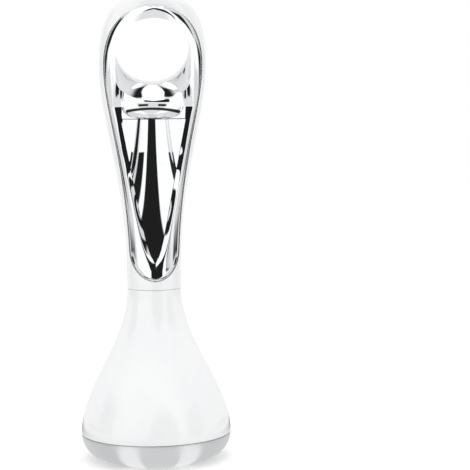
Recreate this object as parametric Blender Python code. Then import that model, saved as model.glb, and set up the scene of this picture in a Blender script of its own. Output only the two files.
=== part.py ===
"""Vibrating facial massager: a finger ring, a chrome thumb scoop, a bell head and a steel plate.

Metres, +Z up. The plate's flat face is centred on the origin and the chrome front faces -Y.
"""

from math import acos, cos, exp, log, pi, radians, sin, sqrt, tan

import bmesh
import bpy
from mathutils import Matrix, Vector

for old in list(bpy.data.objects):
    bpy.data.objects.remove(old, do_unlink=True)

MM = 0.001

# Fits shared by all pieces
GAP = 0.3 * MM
OVERRUN = 6 * MM

# Faces round a piece, counts and not sizes
HANDLE_SIDES = 28
HEAD_SIDES = 32
SMALL_SIDES = 14
WIRE_SIDES = 6

# Base: a steel dish, its flat face and the seam over it
PLATE_RADIUS = 27.0 * MM
PLATE_HEIGHT = 9.3 * MM
PLATE_CORNER = 10.0 * MM
PLATE_WALL = 1.0 * MM
PLATE_FLAT_RADIUS = PLATE_RADIUS - PLATE_CORNER

# Head: a bell from the base seam to the neck seam
HEAD_HEIGHT = 52.2 * MM
NECK_RADIUS = 9.75 * MM
BELL_FULLNESS = 0.95
HEAD_WALL_BASE = 2.0 * MM
HEAD_WALL_NECK = 1.6 * MM

# Handle: an oval tube that leans forward and ends in a finger ring
RING_RISE = 78.5 * MM
RING_TOP_RISE = 25.0 * MM
RING_HALF_WIDTH = 18.65 * MM
RING_HALF_DEPTH = 7.5 * MM
WIDTH_POWER = 2.5
TOP_DEPTH_POWER = 0.3
LEAN = 11.8 * MM
LEAN_POWER = 2.33
HANDLE_WALL = 1.8 * MM
SPIGOT_WALL = 1.0 * MM
SPIGOT_LENGTH = 7.5 * MM
BORE_RISE = 15.5 * MM
CAVITY_RISE = 62.5 * MM

# Finger hole: an oval tunnel that rises from front to back
HOLE_RISE = 84.1 * MM
HOLE_HALF_WIDTH = 13.5 * MM
HOLE_HALF_HEIGHT = 14.0 * MM
HOLE_TILT = radians(22)
HOLE_STRAIGHT = 4.0 * MM
HOLE_FLARE_REACH = 4.0 * MM
FRONT_FLARE = 1.0 * MM
BACK_FLARE = 1.8 * MM
SLEEVE_WALL = 1.2 * MM
SLEEVE_BACK = 1.5 * MM

# Chrome trim: its outline, seen from the front, and its skin
TRIM_RISE = 3.0 * MM
TRIM_TIP_LENGTH = 11.5 * MM
TRIM_TOP_DROP = 5.0 * MM
TRIM_WIDTH_SHARE = 0.885
TRIM_SKIN = 1.3 * MM
PARTING_SHARE = 0.1

# Thumb scoop: a V in the trim, deepest under the finger hole
SCOOP_RISE = 6.9 * MM
SCOOP_DEPTH = 4.8 * MM
SCOOP_RUN = 42.0 * MM
SCOOP_TIP_ROUND = 3.0 * MM
SCOOP_TIP_LENGTH = 4.0 * MM
SCOOP_TAPER = 0.19
SCOOP_WALL = 1.2 * MM
SCOOP_CURVE_RADIUS = 8.0 * MM
STEEP_ANGLE = radians(47)
FLARE_ANGLE = radians(12)
FLARE_RUN = 1.6 * MM
NOSE_HEIGHT = 5.7 * MM
NOSE_TOP_RISE = 66.5 * MM

# Thumb key: the floor of the scoop
KEY_INSET = 1.8 * MM
KEY_THICKNESS = 1.4 * MM
KEY_START = 4.6 * MM
PIVOT_RISE = 15.5 * MM
PIVOT_SETBACK = 2.2 * MM
PIVOT_BARREL_RADIUS = 1.3 * MM
PIVOT_PIN_RADIUS = 0.6 * MM
PIVOT_CLEARANCE = 0.15 * MM
EAR_REACH = 3.0 * MM
EAR_BACK = 1.7 * MM

# Switch under the key, and its board
BOARD_WIDTH = 9.0 * MM
BOARD_LENGTH = 22.0 * MM
BOARD_RISE = 20.5 * MM
BOARD_THICKNESS = 1.0 * MM
BOARD_SETBACK = 2.1 * MM
SWITCH_RISE = 37.5 * MM
SWITCH_SIDE = 6.0 * MM
SWITCH_DEPTH = 2.4 * MM
SWITCH_TRAVEL = 0.5 * MM
PLUNGER_RADIUS = 1.6 * MM
PLUNGER_OVERLAP = 0.9 * MM
CHIP_SIDE = 3.0 * MM
CHIP_DEPTH = 0.9 * MM
CHIP_RISE = 29.0 * MM
DIODE_LENGTH = 2.6 * MM
DIODE_WIDTH = 1.3 * MM
BOARD_SCREW_RISES = (23.0 * MM, 33.2 * MM)
BOARD_SCREW_SIDE = 2.6 * MM
BOARD_SCREW_RADIUS = 0.6 * MM
BOARD_SCREW_HEAD_RADIUS = 1.2 * MM
BOARD_SCREW_HEAD = 0.8 * MM
BOARD_SCREW_GRIP = 1.4 * MM
BOARD_BOSS_WALL = 0.8 * MM

# Cell of the AAA size
CELL_RADIUS = 5.25 * MM
CELL_CAN_LENGTH = 43.6 * MM
CELL_NUB_LENGTH = 0.9 * MM
CELL_NUB_RADIUS = 1.9 * MM
CELL_BOTTOM = 14.2 * MM

# Chassis: a flange, the cell's tube and the motor's pocket
FLANGE_BOTTOM = 12.0 * MM
FLANGE_THICKNESS = 1.4 * MM
FLANGE_SETBACK = 5.4 * MM
FLANGE_RADIUS = PLATE_RADIUS - FLANGE_SETBACK
TUBE_CLEARANCE = 0.3 * MM
TUBE_WALL = 0.85 * MM
TUBE_END_WALL = 1.0 * MM
WIRE_SLOT_WIDTH = 1.7 * MM
WIRE_SLOT_BOTTOM = 34.0 * MM
CHASSIS_SCREW_EDGE = 2.8 * MM
CHASSIS_SCREW_CIRCLE = FLANGE_RADIUS - CHASSIS_SCREW_EDGE
CHASSIS_SCREW_ANGLES = (radians(-90), radians(20), radians(160))
CHASSIS_SCREW_RADIUS = 1.0 * MM
CHASSIS_SCREW_LENGTH = 8.0 * MM
CHASSIS_SCREW_HEAD_RADIUS = 1.8 * MM
CHASSIS_SCREW_HEAD = 1.3 * MM
CHASSIS_BOSS_RADIUS = 2.5 * MM
CHASSIS_BOSS_LENGTH = 19.0 * MM

# Motor, upright beside the cell
MOTOR_SHARE = 5 / 27
MOTOR_RADIUS = MOTOR_SHARE * PLATE_RADIUS
MOTOR_LENGTH = 12.0 * MM
MOTOR_SEAT = 3.5 * MM
POCKET_WALL = 1.0 * MM
POCKET_LENGTH = 12.4 * MM
POCKET_STEP = 0.6 * MM
END_CAP_STEP = 0.6 * MM
END_CAP_RADIUS = MOTOR_RADIUS - END_CAP_STEP
END_CAP_LENGTH = 1.2 * MM
SHAFT_RADIUS = 0.5 * MM
WEIGHT_STEP = 1.1 * MM
WEIGHT_RADIUS = MOTOR_RADIUS - WEIGHT_STEP
WEIGHT_LENGTH = 2.4 * MM
WEIGHT_HUB_RADIUS = 1.3 * MM
SHAFT_CLEARANCE = 0.05 * MM
STRAP_THICKNESS = 1.0 * MM
STRAP_WIDTH = 4.0 * MM
STRAP_FOOT = 3.4 * MM
LUG_HEIGHT = 4.0 * MM
STRAP_SCREW_RADIUS = 0.7 * MM
STRAP_SCREW_HEAD_RADIUS = 1.2 * MM
STRAP_SCREW_HEAD = 0.9 * MM
STRAP_SCREW_LENGTH = 3.2 * MM

# Base cap: carrier, bayonet, seal and contacts
CARRIER_STEP = 0.5 * MM
CARRIER_FLOOR_RADIUS = PLATE_FLAT_RADIUS - CARRIER_STEP
CARRIER_WALL = 1.4 * MM
FLANGE_RING_THICKNESS = 1.2 * MM
FLANGE_RING_DROP = 1.7 * MM
SEAL_RADIUS = 0.55 * MM
SPIGOT_RING_WALL = 1.2 * MM
SPIGOT_RING_RISE = 3.4 * MM
HOOK_THICKNESS = 1.4 * MM
LUG_THICKNESS = 1.2 * MM
LUG_REACH = 1.0 * MM
BAYONET_LUGS = 3
BAYONET_ARC = radians(40)
SPRING_BASE_RADIUS = 4.4 * MM
SPRING_TOP_RADIUS = 2.5 * MM
SPRING_WIRE_RADIUS = 0.35 * MM
SPRING_TURNS = 5
CONTACT_THICKNESS = 0.3 * MM
CONTACT_RADIUS = 5.6 * MM
CONTACT_ARM_WIDTH = 3.0 * MM
CONTACT_TAB_STEP = 2.2 * MM
CONTACT_TAB_REACH = CARRIER_FLOOR_RADIUS - CONTACT_TAB_STEP
CONTACT_TAB_TOP = 10.0 * MM
CONTACT_TAB_THICKNESS = 0.6 * MM
TAIL_RADIUS = 0.7 * MM
TAIL_LENGTH = 2.1 * MM
LEAF_INNER = 8.2 * MM
LEAF_OVERHANG = 1.1 * MM
LEAF_OUTER = CONTACT_TAB_REACH + LEAF_OVERHANG
LEAF_TAIL_TOP = 1.6 * MM
WIRE_RADIUS = 0.4 * MM

# Levels that follow from the sizes above
NECK_Z = PLATE_HEIGHT + HEAD_HEIGHT
RING_Z = NECK_Z + RING_RISE
TOP_Z = RING_Z + RING_TOP_RISE
HOLE_Z = NECK_Z + HOLE_RISE
TRIM_Z = NECK_Z + TRIM_RISE
TRIM_TOP_Z = TOP_Z - TRIM_TOP_DROP
SCOOP_Z = NECK_Z + SCOOP_RISE
NOSE_TOP_Z = NECK_Z + NOSE_TOP_RISE
NOSE_Z = NOSE_TOP_Z - NOSE_HEIGHT
KEY_Z = SCOOP_Z + KEY_START
KEY_TOP_Z = NOSE_Z - GAP
PIVOT_Z = NECK_Z + PIVOT_RISE
SWITCH_Z = NECK_Z + SWITCH_RISE
FLANGE_TOP = FLANGE_BOTTOM + FLANGE_THICKNESS
BORE_RADIUS = NECK_RADIUS - HEAD_WALL_NECK - GAP - SPIGOT_WALL
TUBE_INNER = CELL_RADIUS + TUBE_CLEARANCE
TUBE_OUTER = TUBE_INNER + TUBE_WALL
POCKET_INNER = MOTOR_RADIUS + GAP
POCKET_OUTER = POCKET_INNER + POCKET_WALL
MOTOR_Y = TUBE_OUTER + POCKET_OUTER - POCKET_WALL / 2


# Materials

def material(name, colour, roughness, metallic):
    """A Principled material of one colour."""
    made = bpy.data.materials.new(name)
    made.use_nodes = True
    shader = made.node_tree.nodes["Principled BSDF"]
    shader.inputs["Base Color"].default_value = (*colour, 1)
    shader.inputs["Roughness"].default_value = roughness
    shader.inputs["Metallic"].default_value = metallic
    return made


WHITE_GLOSS = material("white_gloss", (0.92, 0.92, 0.93), 0.15, 0)
CHROME = material("chrome", (0.85, 0.86, 0.87), 0.04, 1)
SATIN_STEEL = material("satin_steel", (0.72, 0.73, 0.74), 0.3, 1)
STEEL = material("steel", (0.6, 0.6, 0.62), 0.3, 1)
BRASS = material("brass", (0.8, 0.6, 0.28), 0.3, 1)
GREY_PLASTIC = material("grey_plastic", (0.35, 0.36, 0.38), 0.5, 0)
BLACK_PLASTIC = material("black_plastic", (0.03, 0.03, 0.03), 0.45, 0)
RUBBER = material("rubber", (0.05, 0.05, 0.05), 0.8, 0)
BOARD_GREEN = material("board_green", (0.05, 0.25, 0.12), 0.4, 0)
CELL_WRAP = material("cell_wrap", (0.2, 0.28, 0.36), 0.35, 0)
WIRE_RED = material("wire_red", (0.6, 0.04, 0.04), 0.5, 0)
WIRE_BLUE = material("wire_blue", (0.05, 0.12, 0.5), 0.5, 0)


# Mesh helpers

def new_object(name, bm, surface):
    """A closed, triangulated, outward-facing mesh object."""
    bmesh.ops.triangulate(bm, faces=bm.faces[:])
    bmesh.ops.recalc_face_normals(bm, faces=bm.faces[:])
    mesh = bpy.data.meshes.new(name)
    bm.to_mesh(mesh)
    bm.free()
    mesh.materials.append(surface)
    made = bpy.data.objects.new(name, mesh)
    bpy.context.scene.collection.objects.link(made)
    return made


def loft(name, rings, surface):
    """A solid through rings of equal count; a ring of one point is a pole."""
    bm = bmesh.new()
    loops = [[bm.verts.new(point) for point in ring] for ring in rings]
    for low, high in zip(loops, loops[1:]):
        count = max(len(low), len(high))
        for i in range(count):
            j = (i + 1) % count
            if len(low) == 1:
                bm.faces.new((low[0], high[j], high[i]))
            elif len(high) == 1:
                bm.faces.new((low[i], low[j], high[0]))
            else:
                bm.faces.new((low[i], low[j], high[j], high[i]))
    for loop in (loops[0], loops[-1]):
        if len(loop) > 2:
            bm.faces.new(loop)
    return new_object(name, bm, surface)


def revolve(name, profile, surface, sides=SMALL_SIDES, place=None):
    """A turned solid: a closed profile of (radius, height) points about Z."""
    bm = bmesh.new()
    columns = []
    for radius, height in profile:
        if radius == 0:
            columns.append([bm.verts.new((0, 0, height))] * sides)
        else:
            angles = [2 * pi * i / sides for i in range(sides)]
            columns.append([bm.verts.new((radius * cos(a), radius * sin(a), height)) for a in angles])
    for low, high in zip(columns, columns[1:] + columns[:1]):
        for i in range(sides):
            j = (i + 1) % sides
            corners = list(dict.fromkeys((low[i], low[j], high[j], high[i])))
            if len(corners) > 2:
                bm.faces.new(corners)
    if place:
        bmesh.ops.transform(bm, matrix=place, verts=bm.verts[:])
    return new_object(name, bm, surface)


def cylinder(name, radius, low, high, surface, place=None, sides=SMALL_SIDES):
    """A plain cylinder along Z from low to high, then moved by place."""
    return revolve(name, [(0, low), (radius, low), (radius, high), (0, high)], surface, sides, place)


def box(name, low, high, surface):
    """A block between two corners."""
    corners = [(low[0], low[1]), (high[0], low[1]), (high[0], high[1]), (low[0], high[1])]
    return loft(name, [[Vector((x, y, z)) for x, y in corners] for z in (low[2], high[2])], surface)


def combine(target, tool, operation):
    """Cut, join or intersect target with tool, and remove the tool."""
    step = target.modifiers.new("cut", "BOOLEAN")
    step.operation = operation
    step.solver = "MANIFOLD"
    step.object = tool
    graph = bpy.context.evaluated_depsgraph_get()
    result = bpy.data.meshes.new_from_object(target.evaluated_get(graph))
    target.modifiers.clear()
    target.data = result
    bpy.data.objects.remove(tool, do_unlink=True)


def tidy(made):
    """Triangles only, with the rounds shaded smooth."""
    bm = bmesh.new()
    bm.from_mesh(made.data)
    bmesh.ops.triangulate(bm, faces=bm.faces[:])
    bm.to_mesh(made.data)
    bm.free()
    made.data.shade_smooth()
    made.data.set_sharp_from_angle(angle=radians(35))


def turned(origin, axis_x=None, axis_y=None, axis_z=None):
    """A placement whose Z points along the one axis that is given."""
    direction = Vector(axis_x or axis_y or axis_z)
    return Matrix.Translation(Vector(origin)) @ direction.to_track_quat("Z", "Y").to_matrix().to_4x4()


def steps(low, high, count):
    """Count + 1 even values from low to high."""
    return [low + (high - low) * i / count for i in range(count + 1)]


# Form of the handle

def clamp(value, low=0.0, high=1.0):
    return max(low, min(high, value))


def lean_y(z):
    """Front-to-back place of the handle's middle line."""
    return -LEAN * clamp((z - NECK_Z) / HOLE_RISE, 0, 2) ** LEAN_POWER


def rise_share(z):
    return clamp((z - NECK_Z) / RING_RISE)


def top_share(z, inset=0.0):
    return clamp((z - RING_Z) / (RING_TOP_RISE - inset))


def half_width(z, inset=0.0):
    """Half of the handle's width: neck, swelling ring, elliptic top."""
    swell = 1 - (1 - rise_share(z) ** WIDTH_POWER) ** 2
    full = NECK_RADIUS + (RING_HALF_WIDTH - NECK_RADIUS) * swell - inset
    return full * sqrt(max(0, 1 - top_share(z, inset) ** 2))


def half_depth(z, inset=0.0):
    """Half of the handle's depth: neck, thinner ring, rounded top."""
    share = rise_share(z)
    ease = share * share * (3 - 2 * share)
    full = NECK_RADIUS + (RING_HALF_DEPTH - NECK_RADIUS) * ease - inset
    return full * max(0, 1 - top_share(z, inset) ** 2) ** TOP_DEPTH_POWER


def handle_ring(z, inset=0.0):
    """One level ring of the handle's skin, inset by a wall."""
    angles = [2 * pi * i / HANDLE_SIDES for i in range(HANDLE_SIDES)]
    wide, deep, middle = half_width(z, inset), half_depth(z, inset), lean_y(z)
    return [Vector((wide * cos(a), middle + deep * sin(a), z)) for a in angles]


def handle_levels(low, high, inset=0.0):
    """Levels from low to high, closer together over the rounded top."""
    straight = [z for z in steps(NECK_Z, RING_Z, 14) if low + GAP < z < min(high, RING_Z) - GAP]
    top = RING_TOP_RISE - inset
    cap = [RING_Z + top * sin(pi / 2 * i / 7) for i in range(7)]
    return [low] + straight + [z for z in cap if low + GAP < z < high - GAP] + ([high] if high < TOP_Z - inset else [])


def handle_solid(name, low, high, inset=0.0):
    """The handle's solid form between two levels, inset by a wall."""
    rings = [handle_ring(z, inset) for z in handle_levels(low, high, inset)]
    if high >= TOP_Z - inset:
        rings.append([Vector((0, lean_y(TOP_Z - inset), TOP_Z - inset))])
    return loft(name, rings, WHITE_GLOSS)


# Form of the trim and the scoop

def trim_half_width(z):
    """Half of the trim's outline: rounded tip, share of the handle, rounded top."""
    tip_top = TRIM_Z + TRIM_TIP_LENGTH
    if z < tip_top:
        drop = (tip_top - z) / TRIM_TIP_LENGTH
        return TRIM_WIDTH_SHARE * half_width(tip_top) * sqrt(max(0, 1 - drop * drop))
    if z > RING_Z:
        climb = (z - RING_Z) / (TRIM_TOP_Z - RING_Z)
        return TRIM_WIDTH_SHARE * RING_HALF_WIDTH * sqrt(max(0, 1 - climb * climb))
    return TRIM_WIDTH_SHARE * half_width(z)


def parting_y(z):
    """How far back the trim's edge reaches."""
    return lean_y(z) - PARTING_SHARE * half_depth(z)


def scoop_half_width(z):
    """Half of the scoop's V: a rounded tip and a steady taper."""
    climb = max(0, z - SCOOP_Z)
    return SCOOP_TIP_ROUND * (1 - exp(-climb / SCOOP_TIP_LENGTH)) + SCOOP_TAPER * climb


def key_half_width(z):
    return scoop_half_width(z) - KEY_INSET


def ridge_y(z):
    """Where the scoop's rim lies on the handle's skin."""
    share = clamp(scoop_half_width(z) / half_width(z), 0, 1)
    return lean_y(z) - half_depth(z) * sqrt(1 - share * share)


def scoop_depth(z):
    """Depth of the floor under the rim: it grows upwards and then stays."""
    run = clamp((z - SCOOP_Z) / SCOOP_RUN)
    return SCOOP_DEPTH * run * (1.2 - 0.2 * run)


def floor_y(z):
    return ridge_y(z) + scoop_depth(z)


def skin_y(x, z):
    """Front of the handle's skin at x."""
    share = clamp(x / half_width(z))
    return lean_y(z) - half_depth(z) * sqrt(1 - share * share)


def floor_rise(x, z):
    """Rise of the floor at x: the slope angle grows evenly to a steep line, then eases to a flare."""
    bend = max(0.02, (z - SCOOP_Z) / SCOOP_RUN) / SCOOP_CURVE_RADIUS
    steep = STEEP_ANGLE / bend
    if x <= steep:
        return -log(cos(bend * x)) / bend
    ease = (STEEP_ANGLE - FLARE_ANGLE) / FLARE_RUN
    beyond = x - steep
    flare = min(beyond, FLARE_RUN)
    climb = (log(cos(STEEP_ANGLE - ease * flare)) - log(cos(STEEP_ANGLE))) / ease
    return -log(cos(STEEP_ANGLE)) / bend + climb + (beyond - flare) * tan(FLARE_ANGLE)


def scoop_y(x, z):
    """Front face of the scoop at x: floor, side wall, and the nose that curls out to the skin."""
    wide, inner = scoop_half_width(z), max(0, key_half_width(z))
    depth = scoop_depth(z)
    rise = min(floor_rise(min(x, inner), z), depth)
    if x > inner:
        rise += (depth - rise) * clamp((x - inner) / max(wide - inner, GAP))
    face = floor_y(z) - rise
    if z > NOSE_Z:
        left = clamp((NOSE_TOP_Z - z) / NOSE_HEIGHT)
        skin = skin_y(x, z)
        face = skin + (face - skin) * (1 - sqrt(1 - left * left))
    return face


def slab(name, levels, width_at, front, back_at):
    """A solid of level slices: width by a function of z, from a front plane to a curved back."""
    rings = []
    for z in levels:
        wide = max(width_at(z), GAP / 2)
        back = back_at(z)
        rings.append([Vector((-wide, front, z)), Vector((wide, front, z)),
                      Vector((wide, back, z)), Vector((-wide, back, z))])
    return loft(name, rings, CHROME)


def tip_levels():
    return [TRIM_Z + TRIM_TIP_LENGTH * (1 - cos(pi / 2 * i / 7)) for i in range(8)]


def trim_levels():
    middle = steps(TRIM_Z + TRIM_TIP_LENGTH, RING_Z, 10)[1:]
    top = [RING_Z + (TRIM_TOP_Z - RING_Z) * sin(pi / 2 * i / 7) for i in range(1, 8)]
    return tip_levels() + middle + top


def scoop_levels():
    low = [SCOOP_Z + KEY_START * share for share in (0, 0.12, 0.35, 0.65)]
    middle = steps(KEY_Z, NOSE_Z, 8)
    nose = [NOSE_TOP_Z - NOSE_HEIGHT * cos(pi / 2 * i / 5) for i in range(1, 6)]
    return low + middle + nose


FRONT_PLANE = -(LEAN * (1 + RING_TOP_RISE / HOLE_RISE) ** 3 + RING_HALF_DEPTH + OVERRUN)


def trim_slab(name, spread, back_gap):
    """The trim's outline as a block, wider by spread and less deep by back_gap."""
    return slab(name, trim_levels(), lambda z: trim_half_width(z) + spread, FRONT_PLANE,
                lambda z: parting_y(z) - back_gap)


def block_back(z):
    """Back of the thick block round the scoop, deeper where the key's ears are."""
    if KEY_Z < z < PIVOT_Z + EAR_REACH:
        return pivot_y() + EAR_BACK
    return floor_y(min(z, NOSE_Z)) + KEY_THICKNESS + (lean_y(z) - lean_y(min(z, NOSE_Z)))


def block_slab(name, spread):
    """The walls round the scoop and the bridge under the finger hole."""
    low = SCOOP_Z - SCOOP_WALL
    ears = [KEY_Z, KEY_Z + GAP, PIVOT_Z, PIVOT_Z + EAR_REACH - GAP, PIVOT_Z + EAR_REACH + GAP]
    above = steps(PIVOT_Z + EAR_REACH, HOLE_Z - HOLE_HALF_HEIGHT / 2, 8)[1:]
    return slab(name, [low - spread] + ears + above,
                lambda z: scoop_half_width(max(z, SCOOP_Z + SCOOP_WALL)) + SCOOP_WALL + spread,
                FRONT_PLANE, lambda z: block_back(max(z, SCOOP_Z)) + spread)


def pivot_y():
    """Front-to-back place of the key's pin, behind the key."""
    return floor_y(PIVOT_Z) + PIVOT_SETBACK


def hole_frame():
    """Placement of the finger hole: its Z runs from front to back and upwards."""
    middle = Vector((0, lean_y(HOLE_Z), HOLE_Z))
    return Matrix.Translation(middle) @ Matrix.Rotation(-(pi / 2 - HOLE_TILT), 4, "X")


def hole_solid(name, grow, start, end, flared):
    """An oval tunnel along the hole's axis, flared at both mouths where asked."""
    frame = hole_frame()
    if flared:
        mouth = HOLE_STRAIGHT + HOLE_FLARE_REACH
        stations = ([start, -mouth] + [-HOLE_STRAIGHT - HOLE_FLARE_REACH * s / 3 for s in (2, 1, 0)]
                    + [HOLE_STRAIGHT + HOLE_FLARE_REACH * s / 3 for s in (0, 1, 2, 3)] + [end])
    else:
        stations = [start, end]
    rings = []
    for along in stations:
        past = clamp((abs(along) - HOLE_STRAIGHT) / HOLE_FLARE_REACH) if flared else 0
        more = grow + (FRONT_FLARE if along < 0 else BACK_FLARE) * past * past
        angles = [2 * pi * i / HANDLE_SIDES for i in range(HANDLE_SIDES)]
        rings.append([frame @ Vector(((HOLE_HALF_WIDTH + more) * cos(a), (HOLE_HALF_HEIGHT + more) * sin(a), along))
                      for a in angles])
    return loft(name, rings, CHROME)


HOLE_END = 3 * RING_HALF_DEPTH


def finger_hole(name):
    return hole_solid(name, 0, -HOLE_END, HOLE_END, True)


def scoop_solid():
    """Everything in front of the scoop's face."""
    rings = []
    for z in scoop_levels():
        wide, inner = max(scoop_half_width(z), GAP / 2), max(key_half_width(z), GAP / 4)
        xs = [inner * i / 6 for i in range(7)] + [wide]
        right = [Vector((x, scoop_y(x, z), z)) for x in xs]
        left = [Vector((-p.x, p.y, z)) for p in reversed(right[1:])]
        rings.append(left + right + [Vector((wide, FRONT_PLANE, z)), Vector((-wide, FRONT_PLANE, z))])
    return loft("scoop", rings, CHROME)


def key_pocket():
    """Room for the key through the trim."""
    levels = [KEY_Z - GAP] + steps(KEY_Z, KEY_TOP_Z, 8) + [KEY_TOP_Z + GAP]
    return slab("pocket", levels, lambda z: key_half_width(z) + GAP, FRONT_PLANE,
                lambda z: lean_y(z) + half_depth(z))


# Handle group

def make_handle_shell():
    """White moulding: the oval tube, its finger ring and the window for the trim."""
    shell = handle_solid("handle_shell", NECK_Z + GAP / 2, TOP_Z)
    spigot = cylinder("spigot", BORE_RADIUS + SPIGOT_WALL, NECK_Z - SPIGOT_LENGTH, NECK_Z + SPIGOT_LENGTH,
                      WHITE_GLOSS, sides=HANDLE_SIDES)
    combine(shell, spigot, "UNION")
    bore_top = NECK_Z + BORE_RISE
    ring = [2 * pi * i / HANDLE_SIDES for i in range(HANDLE_SIDES)]
    bore = [[Vector((BORE_RADIUS * cos(a), BORE_RADIUS * sin(a) + lean_y(z), z)) for a in ring]
            for z in (NECK_Z - SPIGOT_LENGTH - OVERRUN, NECK_Z, bore_top)]
    cavity_top = NECK_Z + CAVITY_RISE
    above = [handle_ring(z, HANDLE_WALL) for z in steps(bore_top + OVERRUN, cavity_top, 6)]
    combine(shell, loft("cavity", bore + above, WHITE_GLOSS), "DIFFERENCE")
    window = trim_slab("window", GAP, -GAP)
    combine(window, handle_solid("tip_core", NECK_Z, NECK_Z + BORE_RISE, TRIM_SKIN + GAP), "DIFFERENCE")
    combine(window, handle_solid("ring_core", cavity_top + OVERRUN, TOP_Z, TRIM_SKIN + GAP), "DIFFERENCE")
    combine(shell, window, "DIFFERENCE")
    combine(shell, block_slab("walls", GAP), "DIFFERENCE")
    combine(shell, hole_solid("sleeve", SLEEVE_WALL + GAP, -HOLE_END, SLEEVE_BACK + GAP, False), "DIFFERENCE")
    combine(shell, finger_hole("hole"), "DIFFERENCE")
    for screw in BOARD_SCREW_RISES:
        add_board_boss(shell, NECK_Z + screw)
    tidy(shell)


def add_board_boss(shell, z):
    """A pillar from the back wall to the board, with a blind hole for its screw."""
    face = board_y() + BOARD_THICKNESS + GAP
    wall = lean_y(z) + half_depth(z) - HANDLE_WALL / 2
    side = board_screw_x(z)
    radius = BOARD_SCREW_RADIUS + GAP + BOARD_BOSS_WALL
    along = turned((side, 0, z), axis_y=(0, 1, 0))
    combine(shell, cylinder("boss", radius, face, wall, WHITE_GLOSS, along), "UNION")
    deep = board_y() + BOARD_THICKNESS + GAP + BOARD_SCREW_GRIP + GAP
    combine(shell, cylinder("pilot", BOARD_SCREW_RADIUS + GAP / 2, face - GAP, deep, WHITE_GLOSS, along), "DIFFERENCE")


def board_y():
    """Front face of the board: a setback before the handle's inner back, at the board's upper end."""
    z = NECK_Z + BOARD_RISE + BOARD_LENGTH
    return lean_y(z) + half_depth(z, HANDLE_WALL) - BOARD_SETBACK


def board_screw_x(z):
    """The lower screw is at the right, the upper one at the left."""
    return BOARD_SCREW_SIDE if z < NECK_Z + sum(BOARD_SCREW_RISES) / 2 else -BOARD_SCREW_SIDE


def make_chrome_trim():
    """Plated front: skin, sleeve of the finger hole, walls and bridge round the scoop."""
    trim = handle_solid("chrome_trim", NECK_Z + GAP, TOP_Z)
    keep = trim_slab("keep", 0, 0)
    combine(keep, hole_solid("sleeve", SLEEVE_WALL, -HOLE_END, SLEEVE_BACK, False), "UNION")
    combine(trim, keep, "INTERSECT")
    inside = handle_solid("inside", NECK_Z, TOP_Z, TRIM_SKIN)
    combine(inside, block_slab("walls", 0), "DIFFERENCE")
    combine(inside, hole_solid("sleeve", SLEEVE_WALL, -HOLE_END, HOLE_END, False), "DIFFERENCE")
    combine(trim, inside, "DIFFERENCE")
    combine(trim, scoop_solid(), "DIFFERENCE")
    combine(trim, key_pocket(), "DIFFERENCE")
    combine(trim, finger_hole("hole"), "DIFFERENCE")
    across = turned((0, pivot_y(), PIVOT_Z), axis_x=(1, 0, 0))
    half = scoop_half_width(PIVOT_Z) + SCOOP_WALL - GAP
    combine(trim, cylinder("pin_hole", PIVOT_PIN_RADIUS + PIVOT_CLEARANCE, -half, half, CHROME, across), "DIFFERENCE")
    trim.data.materials.clear()
    trim.data.materials.append(CHROME)
    tidy(trim)


def make_thumb_key():
    """The scoop's floor: a dished panel with a barrel for its pin."""
    rings = []
    for z in steps(KEY_Z, KEY_TOP_Z, 9):
        wide = key_half_width(z)
        xs = [wide * i / 6 for i in range(-6, 7)]
        front = [Vector((x, scoop_y(abs(x), z), z)) for x in xs]
        back = [Vector((p.x, p.y + KEY_THICKNESS, z)) for p in reversed(front)]
        rings.append(front + back)
    key = loft("thumb_key", rings, CHROME)
    across = turned((0, pivot_y(), PIVOT_Z), axis_x=(1, 0, 0))
    half = key_half_width(PIVOT_Z) - GAP / 2
    combine(key, cylinder("barrel", PIVOT_BARREL_RADIUS, -half, half, CHROME, across), "UNION")
    bore = cylinder("bore", PIVOT_PIN_RADIUS + PIVOT_CLEARANCE, -2 * half, 2 * half, CHROME, across)
    combine(key, bore, "DIFFERENCE")
    tidy(key)
    reach = scoop_half_width(PIVOT_Z) + SCOOP_WALL - 2 * GAP
    cylinder("key_pivot_pin", PIVOT_PIN_RADIUS, -reach, reach, STEEL, across)


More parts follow.
